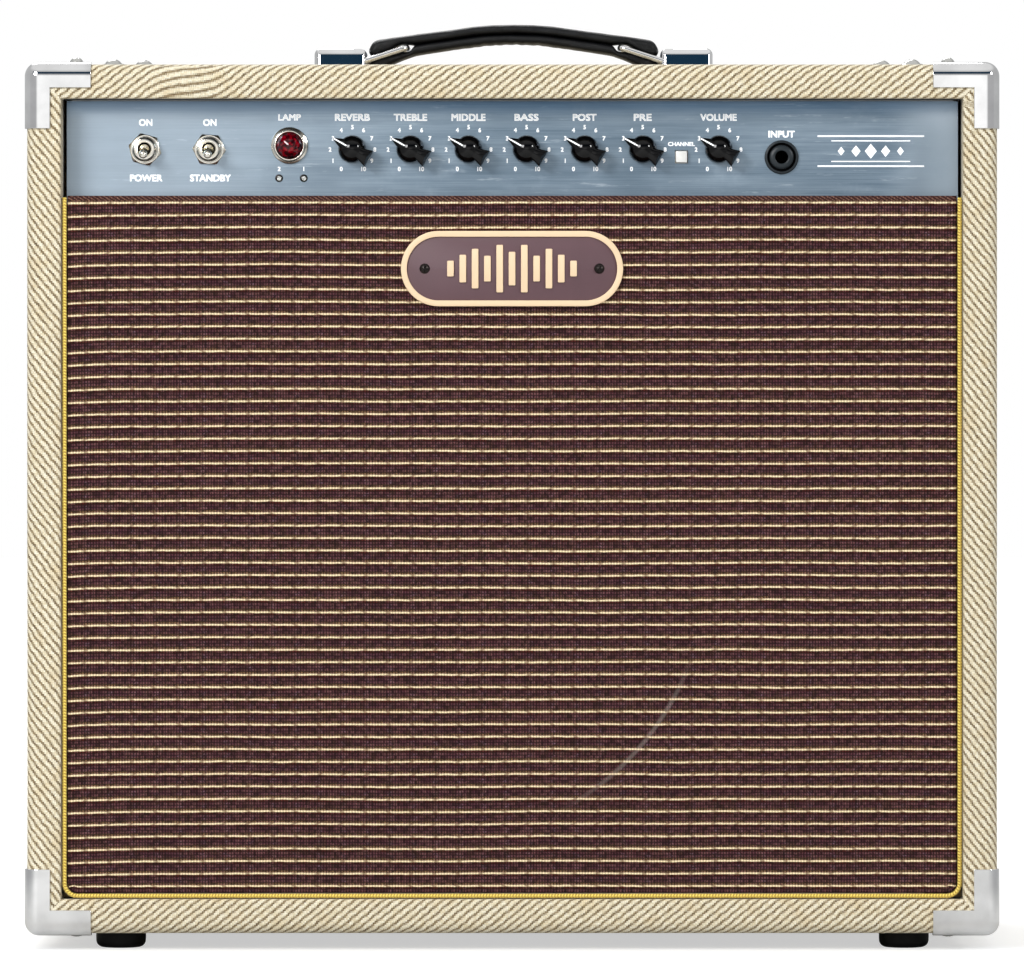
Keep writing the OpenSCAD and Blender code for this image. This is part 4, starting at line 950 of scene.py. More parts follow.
def make_screws():
    """Domed cross-head screws: in the protectors, through the feet and in the back panels' cup washers."""
    near, far = 11, 24.6     # a protector screw's distances from the cabinet's edges
    guard_t = box_mm("corner_protectors")[1].x - cover_high.x
    x_level, x_side = cover_high.x - far, cover_high.x + guard_t
    screws = Shape()
    head, low_head = dome_head(3.5, 2.6), dome_head(3.5, 0.9)
    for s in (-1, 1):
        for k in (0, 1):
            y = (2 * k - 1) * (back_y - near)
            spin = 23 + 31 * k + 14 * s
            screws.add(turned(head, spin), (s * x_level, y, top_z + guard_t), UP)
            screws.add(turned(low_head, spin + 40), (s * x_level, y, bottom_z - guard_t), DOWN)
        for k in (0, 1):
            y = (2 * k - 1) * (back_y - far)
            for z in (bottom_z + near, top_z - near):
                screws.add(turned(low_head, 17 * k + z), (s * x_side, y, z), RIGHT if s > 0 else LEFT)
    washer = lathe([(2.6, 1.1), (3.0, 1.55), (3.5, 1.6), (4.6, 0.5), (5.0, 0.0)])
    panel_head = moved(dome_head(2.9, 1.5), z=0.8)
    for low, high in [box_mm(n) for n in ("back_panel_upper", "back_panel_lower")]:
        for z in (low.z + 14, high.z - 14):
            for s in (-1, 1):
                spot = (s * (side_low.x - 9.5), high.y, z)
                screws.add(washer, spot, REAR)
                screws.add(turned(panel_head, z * 3 + s * 20), spot, REAR)
    for x, y in foot_spots():
        screws.add(lathe([(1.75, 2.4), (4.0, 2.4), (4.0, 4.0), (1.75, 4.0)]), (x, y, 0))
    install(screws.make("cross_head_screws", "steel_bright"), "cabinet", "steel_bright", "wood_screws")


FOOT_R = 12.7


def foot_spots():
    low, high = box_mm("feet")
    return [(x, y) for x in (low.x + FOOT_R, high.x - FOOT_R) for y in (low.y + FOOT_R, high.y - FOOT_R)]


def make_feet():
    """Turned rubber feet, a little fuller at the waist, with a rounded sole and a screw well."""
    low, high = box_mm("feet")
    h = high.z - low.z
    r, sole = FOOT_R, 3.6
    profile = [(2.0, h), (r - 1.1, h), (r - 0.4, h - 0.3), (r - 0.1, h - 1.2), (r, h - 3)]
    profile += arc(9.0, sole, sole, 0, -90, 7)
    profile += [(9.0, 0.0), (6.1, 0.0), (5.6, 0.3), (5.5, 2.4), (2.0, 2.4)]
    feet = Shape()
    for x, y in foot_spots():
        feet.add(lathe(profile, 64), (x, y, low.z))
    install(feet.make("rubber_feet", "black_rubber"), "cabinet", "black_rubber", "feet")


# ---- Grille ----

CLOTH_ROLL = 1.4      # how far in from its edges the cloth starts to turn back
CLOTH_TURN = 11.5     # how far back it goes round the baffle's edges


def cloth_wave(x, z):
    """How far a row of the grille cloth strays from the level, in millimetres."""
    slow = noise.noise(Vector((x / 85, z / 60, 3.1)))
    quick = noise.noise(Vector((x / 24, z / 30, 9.7)))
    return 0.55 * slow + 0.22 * quick - 1.0 * math.exp(-(x + cloth_high.x) / 14)


def make_cloth():
    """The grille cloth: a fine grid whose rows follow the yarns, turned back round the baffle's edges. A gold
    yarn lies on every fourth row and stands a little proud."""
    x_edge, z0, z1 = cloth_high.x - CLOTH_ROLL, cloth_low.z + CLOTH_ROLL, cloth_high.z - CLOTH_ROLL
    r = 5.1 - CLOTH_ROLL                  # radius of the lower corners, short of the turn
    face_y = cloth_low.y + 0.35
    first_gold = z1 - 2.1
    across, step = 92, GOLD / 8
    rows = [z1, first_gold + 0.8, first_gold]
    while rows[-1] - step > z0 + 0.2:
        rows.append(rows[-1] - step)
    rows.append(z0)
    columns = [-x_edge, -x_edge + r / 2, -x_edge + r]
    columns += [-x_edge + r + 2 * (x_edge - r) * k / across for k in range(1, across)]
    columns += [x_edge - r, x_edge - r / 2, x_edge]

    def rounded(x, z):
        """Takes the square lower corners to round ones."""
        dx, dz = abs(x) - (x_edge - r), z0 + r - z
        if dx <= 0 or dz <= 0:
            return x, z
        f = max(dx, dz) / math.hypot(dx, dz)
        return math.copysign(x_edge - r + dx * f, x), z0 + r - dz * f

    def outward(x, z):
        """The direction out of the cloth's face at a point of its edge."""
        if abs(x) > x_edge - r and z < z0 + r:
            return Vector((x - math.copysign(x_edge - r, x), z - z0 - r)).normalized()
        side = math.copysign(1, x) if abs(abs(x) - x_edge) < 0.01 else 0
        return Vector((side, 1 if abs(z - z1) < 0.01 else (-1 if abs(z - z0) < 0.01 else 0)))

    points, weave = [], []
    for z in rows:
        for x in columns:
            inner = min(1.0, (z1 - z) / 6, (z - z0) / 6)
            px, pz = rounded(x, z + cloth_wave(x, z) * max(inner, 0))
            yarn = max(0.0, math.cos(2 * math.pi * (z - first_gold) / GOLD)) ** 6
            row = abs(math.cos(math.pi * (z - first_gold) / ROW))
            lift = (0.28 * yarn + 0.10 * row) * min(1.0, max(inner, 0.15))
            points.append((px, face_y - lift, pz))
            weave.append((x, first_gold - z + 20 * GOLD))
    n, m = len(columns), len(rows)
    faces = grid_faces(m, n, flip=True)
    loop = list(range(n)) + [i * n + n - 1 for i in range(1, m)]
    loop += [(m - 1) * n + k for k in range(n - 2, -1, -1)] + [i * n for i in range(m - 2, 0, -1)]
    bends = [(CLOTH_ROLL * math.sin(a), CLOTH_ROLL * (1 - math.cos(a)))
             for a in (math.radians(30 * k) for k in (1, 2, 3))]
    ring = loop
    for out, back in bends + [(CLOTH_ROLL, 6.0), (CLOTH_ROLL, CLOTH_TURN)]:
        new = list(range(len(points), len(points) + len(loop)))
        for i in loop:
            x, _, z = points[i]
            away = outward(x, z)
            points.append((x + away.x * out, face_y + back, z + away.y * out))
            weave.append((weave[i][0] + away.x * back, weave[i][1] - away.y * back))
        faces += [[ring[k], new[k], new[(k + 1) % len(loop)], ring[(k + 1) % len(loop)]]
                  for k in range(len(loop))]
        ring = new
    cloth = Shape()
    cloth.add((points, faces), weave=weave)
    piece = cloth.make("grille_sheet", "grille_fabric", sharp=80)
    install(piece, "cabinet", "grille_fabric", "grille_cloth")


def make_piping():
    """Gold cord down the left side, round the bottom corners and up the right, with fine wraps round it."""
    low, high = box_mm("grille_piping")
    r, bend, sides = 1.2, 6.5, 12
    wrap_depth, wrap_pitch = 0.06, 2.2
    x, y = high.x - r, (low.y + high.y) / 2
    z0, z1 = low.z + r, high.z
    upright, level = 330, 420     # points along a side and along the bottom
    path = [(-x, z1 + (z0 + bend - z1) * k / upright) for k in range(upright)]
    path += arc(-x + bend, z0 + bend, bend, 180, 270, 16)
    path += [(-x + bend + 2 * (x - bend) * k / level, z0) for k in range(1, level)]
    path += arc(x - bend, z0 + bend, bend, 270, 360, 16)
    path += [(x, z0 + bend + (z1 - z0 - bend) * k / upright) for k in range(1, upright + 1)]

    def wrapped(distance, angle):
        return r - wrap_depth + wrap_depth * math.cos(2 * math.pi * distance / wrap_pitch + angle)

    weave, travelled = [], 0.0
    for i in range(len(path)):
        travelled += math.dist(path[i], path[i - 1]) if i else 0
        weave += [(travelled, a) for a in turns(sides)]
    cord = Shape()
    cord.add(tube([(a, y, b) for a, b in path], wrapped, sides), weave=weave)
    install(cord.make("gold_piping", "gold_cord"), "cabinet", "gold_cord", "grille_piping")


def make_badge():
    """A plain oval plate: a rim and a row of bars of different heights, like a level display."""
    low, high = box_mm("badge_plate")
    mid = (low + high) / 2
    w, h = high.x - low.x, high.z - low.z
    depth = high.y - low.y
    face = depth - 1.0
    rim, pitch, pin_x = 6, 6.2, 44
    badge = Shape()
    at = (mid.x, high.y, mid.z)
    badge.add(soft_plate(stadium(w - 1, h - 1), 0, face, 0.3), at, FRONT, 1)
    outer, inner = stadium(w, h), stadium(w - rim, h - rim)
    badge.add(stack([(outer, 0), (outer, depth - 0.4), (inset(outer, 0.12), depth - 0.12),
                     (inset(outer, 0.4), depth), (inset(inner, -0.4), depth),
                     (inset(inner, -0.12), depth - 0.12), (inner, depth - 0.4), (inner, 0)], True), at, FRONT)
    heights = [8, 14, 20, 13, 24, 17, 24, 13, 20, 14, 8]
    for i, tall in enumerate(heights):
        bar = soft_plate(round_rect(3.4, tall, 0.5, 3), face - 0.2, depth, 0.3)
        badge.add(moved(bar, (i - (len(heights) - 1) / 2) * pitch), at, FRONT)
    piece = badge.make("level_badge", "badge_enamel", "badge_field")
    install(piece, "cabinet", "badge_enamel", "badge_plate")
    pins = Shape()
    for s in (-1, 1):
        pins.add(turned(dome_head(2.6, 1.6), 20 + 30 * s), (mid.x + s * pin_x, high.y - face, mid.z), FRONT)
    install(pins.make("badge_pins", "steel_dark"), "cabinet", "steel_dark", "badge_screws")


# ---- Control panel ----

def knob_dome():
    """The knob's profile, as (radius, height)."""
    profile = [(3.4, 0.0), (6.6, 0.0), (7.0, 0.3), (7.1, 0.9), (7.1, 1.8), (6.95, 2.3), (6.95, 6.0)]
    profile += [(6.95 * math.cos(a), 6.9 + 6.65 * math.sin(a)) for a in (math.pi / 2 * k / 18 for k in range(18))]
    return profile + [(0.0, 13.55)]


def knob_blade():
    """The pointer's blade, and its crown as stations of (distance from the shaft, height)."""
    tail, tip = -9.9, 10.9
    widths = [(tail, 4.6), (-8.2, 4.05), (-6.4, 3.5), (-4, 3.1), (-1, 2.8), (2, 2.9), (4.5, 2.75), (6.5, 2.3),
              (8.5, 1.5), (tip, 0.4)]
    crowns = [(tail, 11.4), (-7, 12.0), (-3, 12.4), (3, 12.4), (6, 11.4), (8.5, 9.8), (tip, 7.8)]
    shoulder = [(1, 2.2), (0.95, 1.2), (0.8, 0.5), (0.5, 0.1)]    # share of the width, and depth under the crown
    rings = []
    for k in range(27):
        y = tail + (tip - tail) * k / 26
        w, top = between(widths, y), between(crowns, y)
        hollow = 1.3 * max(0.0, 1 - (y - tail) / 4)
        outline = [(-1, 1.5)] + [(-u, top - d) for u, d in shoulder] + [(0, top)]
        outline += [(u, top - d) for u, d in shoulder[::-1]] + [(1, 1.5)]
        rings.append([(w * u, y + hollow * (1 - u * u), z) for u, z in outline])
    return loft(rings), crowns


def make_knobs():
    """Seven polished pointer knobs: a tall dome, a blade that comes out of it on both sides with a hollowed
    tail, and a white line from the tip onto the dome. They rest at 3 on the dial."""
    dome = knob_dome()
    blade, crowns = knob_blade()
    skin = sorted((r, z) for r, z in dome if z > 4)
    half, line = 0.36, []
    for k in range(17):
        y = 3.0 + 7.6 * k / 16
        top = max(between(crowns, y), between(skin, y) if y < 6.9 else 0) + 0.12
        line.append([(-half, y, top - 0.5), (half, y, top - 0.5), (half, y, top), (-half, y, top)])
    for name, x in zip(KNOBS, knob_x):
        node = name + "_knob"
        knob = Shape()
        at = (x, panel_y - 2.6, control_z)
        knob.add(lathe(dome, 72), at, FRONT)
        knob.add(turned(blade, 60), at, FRONT)
        knob.add(turned(loft(line), 60), at, FRONT, 1)
        install(knob.make(node + "_body", "knob_black", "white_print", outward=True), node, "knob_black", node)


def make_switches():
    """Two toggle switches: hexagonal nut, lock ring, threaded bushing, and a bat lever with a ball at its tip.
    The channel button's switch is a plain box behind the panel."""
    out = panel_y - box_mm("switch_bodies")[0].y
    bore, pitch = 3.4, 0.56
    bushing = [(bore, -1.0), (5.5, -1.0)]
    z = 2.0
    while z < out - 0.9:
        bushing += [(5.55, z), (5.95, z + pitch / 2)]
        z += pitch
    bushing += [(5.7, out - 0.7), (5.2, out - 0.1), (4.9, out), (bore + 0.5, out), (bore, out - 0.6), (bore, -1.0)]
    ring = [(5.95, 2.4), (6.5, 2.4), (6.7, 2.6), (6.7, 3.1), (6.5, 3.35), (6.2, 3.4), (5.95, 3.2), (5.95, 2.4)]
    bodies = Shape()
    for k, x in enumerate(toggle_x):
        at = (x, panel_y, control_z)
        bodies.add(turned(nut(14.9, 2.4, 5.95), 15 + 11 * k), at, FRONT)
        bodies.add(lathe(ring, 64), at, FRONT)
        bodies.add(lathe(bushing, 64), at, FRONT)
        # a near-black disc inside the bushing: painted shade in its bore
        bodies.add(lathe([(0, 2.2), (bore, 2.2)], 32), at, FRONT, 1)
        bodies.add(soft_box((15, 16, 20), 0.8), (x, panel_y + 11.2, control_z - 10))
    button = middle("channel_button")
    bodies.add(soft_box((10.6, 12, 10), 0.6), (button.x, panel_y + 13.2, button.z - 5))
    install(bodies.make("toggle_bodies", "nickel", "painted_shade_black", sharp=30), "cabinet", "nickel", "switch_bodies")
    bat = [(0.0, -2.4), (1.6, -2.0), (2.6, -1.0), (2.85, 0.2), (2.5, 1.3), (1.5, 2.2), (1.3, 4.0), (1.35, 6.5),
           (1.6, 9.0), (1.95, 10.6), (2.1, 12.0), (2.08, 12.8), (1.8, 13.6), (1.2, 14.2), (0.6, 14.4), (0.0, 14.4)]
    tilt = Matrix.Rotation(math.radians(14), 3, "X")
    for name, x in zip(("power", "standby"), toggle_x):
        lever = Shape()
        lever.add(lathe(bat, 32), (x, panel_y - 6.5, control_z), tilt @ FRONT)
        install(lever.make(name + "_bat", "nickel", sharp=70), name + "_lever", "nickel", name + "_lever")


def cut_lens(r, facets=12):
    """A lens with a flat back, straight sides and three tiers of facets that close to a point."""
    tiers = [(2.0, r, 0), (5.2, r, 0), (7.4, r * 0.82, 0.5), (9.1, r * 0.52, 0), (9.95, r * 0.2, 0.5)]
    points = []
    for z, radius, shift in tiers:
        angles = [2 * math.pi * (k + shift) / facets for k in range(facets)]
        points += [(radius * math.cos(a), radius * math.sin(a), z) for a in angles]
    faces = [list(range(facets))[::-1]]
    for i in range(len(tiers) - 1):
        a, b = i * facets, (i + 1) * facets
        for k in range(facets):
            n = (k + 1) % facets
            split = (b + n, a + k) if i == 0 else (b + k, a + n)
            faces += [[a + k, a + n, split[0]], [split[1], b + n, b + k]]
    end = (len(tiers) - 1) * facets
    faces += [[end + k, end + (k + 1) % facets, len(points)] for k in range(facets)]
    return points + [(0, 0, 10.3)], faces


def make_lamp():
    """A cut red lens in a stepped bezel, and the two small clear lamps below it."""
    spot = middle("jewel_lens")
    at = (spot.x, panel_y, spot.z)
    r = 6.35
    hole = r + 0.2
    bezel = [(hole, -2.0), (9.0, -2.0), (9.0, 0.0), (9.35, 0.1), (9.35, 1.3), (9.1, 1.6), (8.2, 1.75), (8.05, 1.9),
             (8.0, 3.5), (7.8, 3.85), (7.4, 4.05), (6.95, 4.05), (6.7, 3.8), (hole, 3.2), (hole, -2.0)]
    rim = Shape()
    rim.add(lathe(bezel, 72), at, FRONT)
    install(rim.make("lamp_bezel", "nickel", sharp=50), "cabinet", "nickel", "jewel_bezel")
    lens = Shape()
    lens.add(cut_lens(r), at, FRONT, flat=True)
    install(lens.make("lamp_lens", "red_glass", sharp=8), "cabinet", "red_glass", "jewel_lens")
    low, high = box_mm("status_leds")
    collar = [(1.35, -1.0), (1.7, -1.0), (1.8, 0.1), (1.75, 0.45), (1.5, 0.5), (1.35, 0.3), (1.35, -1.0)]
    glass = [(1.2, -4.0), (1.2, 0.5), (1.05, 0.85), (0.6, 1.05), (0.0, 1.1)]
    core = [(0.0, -0.2), (0.9, -0.2), (0.9, -3.0), (0.0, -3.0)]
    lamps = Shape()
    for x in (low.x + LED_R, high.x - LED_R):
        at = (x, panel_y, (low.z + high.z) / 2)
        lamps.add(lathe(collar, 32), at, FRONT, 1)
        lamps.add(lathe(glass, 32), at, FRONT)
        lamps.add(lathe(core, 24), at, FRONT, 2)
    piece = lamps.make("small_lamps", "clear_glass", "steel_dark", "white_plastic")
    install(piece, "cabinet", "clear_glass", "status_leds")


def make_button():
    """A square cap on a slim stem that runs back into its switch."""
    spot = middle("channel_button")
    at = (spot.x, panel_y, spot.z)
    out = panel_y - box_mm("channel_button")[0].y
    cap = Shape()
    cap.add(soft_plate(round_rect(5.8, 5.8, 0.5, 4), -3.2, out, 0.35), at, FRONT)
    cap.add(soft_plate(round_rect(3, 3, 0.2, 2), -11.0, -3.0, 0.1), at, FRONT)
    install(cap.make("channel_cap", "white_plastic"), "channel_button", "white_plastic", "channel_button")


def add_jack(piece, x, z, turn):
    """A phone jack: a round nut with a groove, a collar and a bore, standing out from the wall, with the jack's
    body behind it. The groove and the bore are painted near black: painted shade."""
    nut_ring = [(5.8, 0.0), (8.4, 0.0), (8.6, 0.3), (8.6, 1.6), (8.4, 2.0), (8.1, 2.15), (7.5, 2.2), (7.3, 2.05)]
    groove = [(7.3, 2.05), (7.2, 0.8), (6.2, 0.8), (6.1, 1.9)]
    collar = [(6.1, 1.9), (6.0, 2.3), (5.7, 2.6), (5.0, 2.8), (4.6, 2.95), (4.0, 3.0), (3.6, 2.95), (3.3, 2.7)]
    bore = [(3.3, 2.7), (3.25, 2.0), (3.25, -13.8), (0.0, -13.8)]
    sleeve = [(3.3, -3.5), (7.9, -3.5), (7.9, -14.5), (3.3, -14.5), (3.3, -3.5)]
    wall, inwards = (panel_y, 1) if turn is FRONT else (chassis_back, -1)
    profiles = (nut_ring, 72, 0), (groove, 72, 1), (collar, 72, 0), (bore, 48, 1), (sleeve, 32, 0)
    for profile, sides, kind in profiles:
        piece.add(lathe(profile, sides), (x, wall, z), turn, kind)
    piece.add(soft_box((16, 17, 16), 0.8), (x, wall + 23 * inwards, z - 8))


def make_jacks():
    spot = middle("input_jack")
    jack = Shape()
    add_jack(jack, spot.x, spot.z, FRONT)
    install(jack.make("front_jack", "black_plastic", "painted_shade_black"), "cabinet", "black_plastic", "input_jack")
    low, high = box_mm("rear_jacks")
    nut_r, count = 8.6, 5
    rear = Shape()
    for k in range(count):
        x = low.x + nut_r + (high.x - low.x - 2 * nut_r) * k / (count - 1)
        add_jack(rear, x, (low.z + high.z) / 2, REAR)
    install(rear.make("back_jacks", "black_plastic", "painted_shade_black"), "cabinet", "black_plastic", "rear_jacks")


def lettering():
    """Generic control names and dial numbers: (text, x, z, width or 0, height of a capital)."""
    label_z, cap = bottom_z + 411.9, 3.65
    under_z, dial_r = bottom_z + 381.2, 11.35
    widths = [17.8, 17.0, 17.3, 12.3, 12.1, 9.15, 18.5]
    rows = [(name.upper(), x, label_z, w, cap) for name, x, w in zip(KNOBS, knob_x, widths)]
    rows += [("ON", x + 0.3, bottom_z + 409.3, 6.9, 3.6) for x in toggle_x]
    rows += [("POWER", toggle_x[0] + 0.6, under_z, 16.5, 3.6), ("STANDBY", toggle_x[1] + 0.6, under_z, 20.8, 3.6),
             ("LAMP", middle("jewel_lens").x, label_z, 11.5, 3.3),
             ("INPUT", middle("input_jack").x, bottom_z + 403.4, 13.4, 3.5),
             ("CHANNEL", middle("channel_button").x, bottom_z + 398.4, 13.6, 2.1)]
    low, high = box_mm("status_leds")
    rows += [(text, x, bottom_z + 385.8, 0, 2.2) for text, x in (("2", low.x + LED_R), ("1", high.x - LED_R))]
    for x in knob_x:
        for number in range(11):
            a = math.radians(240 - 30 * number)
            rows.append((str(number), x + dial_r * math.cos(a), control_z + dial_r * math.sin(a), 0, 2.3))
    return rows


def letter_shape(text, width, cap):
    """A word as thin flat shapes in local X and Y, centred, with capitals of the height asked for. Copies set a
    little apart make its strokes bold."""
    data = bpy.data.curves.new("word", "FONT")
    data.body = text
    data.size = 10
    data.resolution_u = 3
    word = bpy.data.objects.new("word", data)
    link(word)
    bpy.context.view_layer.update()
    mesh = word.evaluated_get(bpy.context.evaluated_depsgraph_get()).to_mesh()
    points = [tuple(v.co) for v in mesh.vertices]
    faces = [list(p.vertices) for p in mesh.polygons]
    bpy.data.objects.remove(word)
    bpy.data.curves.remove(data)
    x0, x1 = min(p[0] for p in points), max(p[0] for p in points)
    y0, y1 = min(p[1] for p in points), max(p[1] for p in points)
    bold = cap * 0.05
    tall = (cap - 2 * bold) / (y1 - y0)
    wide = (width - 2 * bold) / (x1 - x0) if width else tall
    all_points, all_faces = [], []
    for k, (dx, dy) in enumerate([(-1, -1), (1, -1), (1, 1), (-1, 1), (0, 0)]):
        all_faces += [[i + len(all_points) for i in face] for face in faces]
        all_points += [((x - (x0 + x1) / 2) * wide + dx * bold, (y - (y0 + y1) / 2) * tall + dy * bold, 0.004 * k)
                       for x, y, _ in points]
    return all_points, all_faces


def make_lettering():
    """White printing on the panel, and a plain ornament of lines and lozenges at its right."""
    layer = Shape()
    shapes = {}
    for text, x, z, *size in lettering():
        key = (text, *size)
        if key not in shapes:
            shapes[key] = letter_shape(*key)
        layer.add(shapes[key], (x, panel_y - 0.03, z), FRONT)
    x, z, ink = 181.5, bottom_z + 394.8, [(0, 0), (0.04, 0)]
    for half, width, away in ((20, 0.55, 5.2), (27, 0.8, 7.6)):
        bar = plate([(-half, -width / 2), (half, -width / 2), (half, width / 2), (-half, width / 2)], ink)
        for s in (-1, 1):
            layer.add(bar, (x, panel_y, z + s * away), FRONT)
    for dx, r in ((-15, 2.2), (-7.5, 2.9), (0, 3.8), (7.5, 2.9), (15, 2.2)):
        lozenge = plate([(dx + r * 0.8, 0), (dx, r), (dx - r * 0.8, 0), (dx, -r)], ink)
        layer.add(lozenge, (x, panel_y, z), FRONT)
    install(layer.make("panel_printing", "white_print"), "cabinet", "brushed_panel")


# ---- Top ----

def make_top_bolts():
    """Domed bolts in cup washers on the top board, and the handle's bolts inside its brackets."""
    cup = lathe([(4.2, 1.0), (4.9, 1.5), (5.4, 1.6), (6.4, 0.8), (6.9, 0.15), (7.0, 0.0)], 64)
    head = moved(dome_head(4.6, 2.8), z=1.3)
    bolts = Shape()
    spots = [(203, front_y + 40), (203, 80), (188, front_y + 52)]
    for s in (-1, 1):
        for k, (x, y) in enumerate(spots):
            bolts.add(cup, (s * x, y, top_z))
            bolts.add(turned(head, 37 * k + 50 * s), (s * x, y, top_z))
        bolts.add(moved(dome_head(4.6, 2.6), z=2.0), (s * (BRACKET_IN + BRACKET_BOLT), 0, top_z))
    install(bolts.make("cup_bolts", "steel_bright"), "cabinet", "steel_bright", "top_bolts")


def make_brackets():
    """Pressed caps over the handle's ends. Their front and back faces lean in, and the link's arms enter by two
    slots in the inner end."""
    low, high = box_mm("handle_brackets")
    w, h = high.y - low.y, high.z - top_z
    length = high.x - BRACKET_IN
    r, lean, slot_deep = 3.4, 0.162, 5.2
    slot = (LINK_HALF - 1.9, LINK_HALF + 1.9)
    cuts = ((), [-slot[1], -slot[0], slot[0], slot[1]], [2.0])

    def keep(axis, side, corners):
        """Everything above the cabinet, but for the slots."""
        x, y, z = [sum(q[i] for q in corners) / 4 for i in range(3)]
        over_link = slot[0] < abs(y) < slot[1] and x < slot_deep
        inner_end = axis == 0 and side == 0 and z > 2
        if axis == 2 and side == 0 or z < 0 or over_link and (inner_end or axis == 2):
            return []
        return corners

    points, faces = shell((0, -w / 2, -r - 0.5), (length, w / 2, h), r, cuts, keep, arc=5, pitch=4)
    points = [(x, y * (1 - lean * max(0, z) / h), max(z, 0)) for x, y, z in points]
    caps = Shape()
    lug = soft_box((4.6, 5, 7.4), 0.8)
    for s in (-1, 1):
        placed = [(s * (BRACKET_IN + x), y, top_z + z) for x, y, z in points]
        caps.add((placed, faces if s > 0 else [f[::-1] for f in faces]))
        for y in (-8, 8):
            caps.add(lug, (s * (pivot_x + 0.4), y, top_z + 0.6))
        caps.add(soft_box((length - 3, w - 5, 2.0), 0.3), (s * (BRACKET_IN + length / 2), 0, top_z))
    piece = caps.make("bracket_caps", "chrome_plate", sharp=50)
    thicken(piece, 1.2)
    install(piece, "cabinet", "chrome_plate", "handle_brackets")


def make_links():
    """Bent wire links between the brackets and the strap."""
    bend, r = 3.0, 1.5
    flat = []
    corners = [(0, LINK_HALF, 0), (-LINK_L, LINK_HALF, 90), (-LINK_L, -LINK_HALF, 180), (0, -LINK_HALF, 270)]
    for x, y, start in corners:
        cx = x - math.copysign(bend, x + LINK_L / 2)
        cy = y - math.copysign(bend, y)
        flat += arc(cx, cy, bend, start, start + 90, 8)
    for s, name in ((1, "right"), (-1, "left")):
        path = [(s * (pivot_x + x * math.cos(LINK_REST)), y, pivot_z - x * math.sin(LINK_REST)) for x, y in flat]
        wire = Shape()
        wire.add(tube(path, r, 20, joined=True))
        node = "handle_link_" + name
        install(wire.make("wire_link_" + name, "chrome_plate", outward=True), node, "chrome_plate", node)


def strap_heights(x):
    """Height over the cabinet of the strap's crown and of its underside, at a distance x from its middle."""
    crown = [(0, 25.0), (10, 24.8), (20, 24.1), (34, 22.1), (48.7, 20.2), (63.5, 18.2), (70, 17.2), (76, 15.6)]
    under = [(0, 14.9), (14, 14.4), (30, 12.3), (51, 9.1), (57, 7.0), (62, 4.8), (67, 1.9), (76, 0.9)]
    return between(crown, abs(x)), between(under, abs(x))


def strap_layer(x, layer):
    """Height of a layer's middle and half its thickness, at a distance x from the strap's middle. layer is 1
    above and -1 below. The layers part where the link's bar lies between them."""
    bar_x = pivot_x - LINK_L * math.cos(LINK_REST)
    bar_h = LINK_L * math.sin(LINK_REST) + 5
    x = abs(x)
    upper, lower = strap_heights(x)
    part = min(1.0, max(0.0, (x - bar_x + 3.4) / 1.8))
    part = part * part * (3 - 2 * part)
    seam = (upper + lower) / 2 * (1 - part) + bar_h * part - 0.36 * max(0.0, x - 58)
    close = min(1.0, max(0.0, (x - 60) / 5))
    gap = 1.95 * part - 2.1 * close
    inner, outer = (seam + gap, upper) if layer > 0 else (seam - gap, max(lower, 0.35))
    return (inner + outer) / 2, abs(outer - inner) / 2


def make_grip():
    """The strap: two padded vinyl layers that part at the ends, where the wire link lies between them."""
    low, high = box_mm("handle_grip")
    half_w = (high.y - low.y) / 2
    end, nose = high.x, 4.5
    steps, sides = 96, 28
    strap = Shape()
    for layer in (1, -1):
        rings = []
        for k in range(steps + 1):
            x = -end + 2 * end * k / steps
            mid, thick = strap_layer(x, layer)
            close = max(0.0, (abs(x) - (end - nose)) / nose)
            thick *= max(math.sqrt(max(1 - close * close, 0.0)), 0.12)
            wide = half_w * (0.985 + 0.01 * math.sin(x / 7.3 + layer)) * (1 - 0.25 * close * close)
            ring = []
            for j, a in enumerate(turns(sides)):
                c, s = math.cos(a), math.sin(a)
                y = wide * math.copysign(abs(c) ** 0.42, c)
                z = thick * math.copysign(abs(s) ** 0.62, s)
                swell = 1 + 0.05 * noise.noise(Vector((x / 9, j / 5, layer)))
                pucker = 0.0
                if layer < 0 and s < 0:
                    pucker = 0.45 * max(0.0, math.sin(x * 1.15)) * math.exp(-(x / 26) ** 2)
                ring.append((x, y * min(swell, 1.0), top_z + mid + z * swell + pucker))
            rings.append(ring)
        strap.add(loft(rings))
    piece = strap.make("handle_strap", "black_vinyl", sharp=60, outward=True)
    modifier = piece.modifiers.new("smooth", "SUBSURF")
    modifier.levels = 1
    modifier.render_levels = 1
    install(piece, "handle_grip", "black_vinyl", "handle_grip")


# ---- Back and inside ----

VENT_RIM = 8.0


def make_back_panels():
    """Covered panels with rounded edges. The upper one has a long vent, and its tweed turns into it."""
    r = 1.6
    for node in ("back_panel_upper", "back_panel_lower"):
        low, high = box_mm(node)
        pieces = [((-high.x, low.z), (high.x, high.z))]
        if node == "back_panel_upper":
            vent_low, vent_high = box_mm("vent_grille")
            x, z0, z1 = vent_high.x - VENT_RIM, vent_low.z + VENT_RIM, vent_high.z - VENT_RIM
            pieces = [((-high.x, z1), (high.x, high.z)), ((-high.x, low.z), (high.x, z0)),
                      ((-high.x, z0 - r), (-x, z1 + r)), ((x, z0 - r), (high.x, z1 + r))]
        panel = Shape()
        for (x0, z0), (x1, z1) in pieces:
            points, faces = shell((x0, low.y, z0), (x1, high.y, z1), r, arc=3, pitch=20)
            panel.add((points, faces), weave=[(x + y - high.y, z) for x, y, z in points])
        install(panel.make(node + "_covered", "tweed"), "cabinet", "tweed", node)


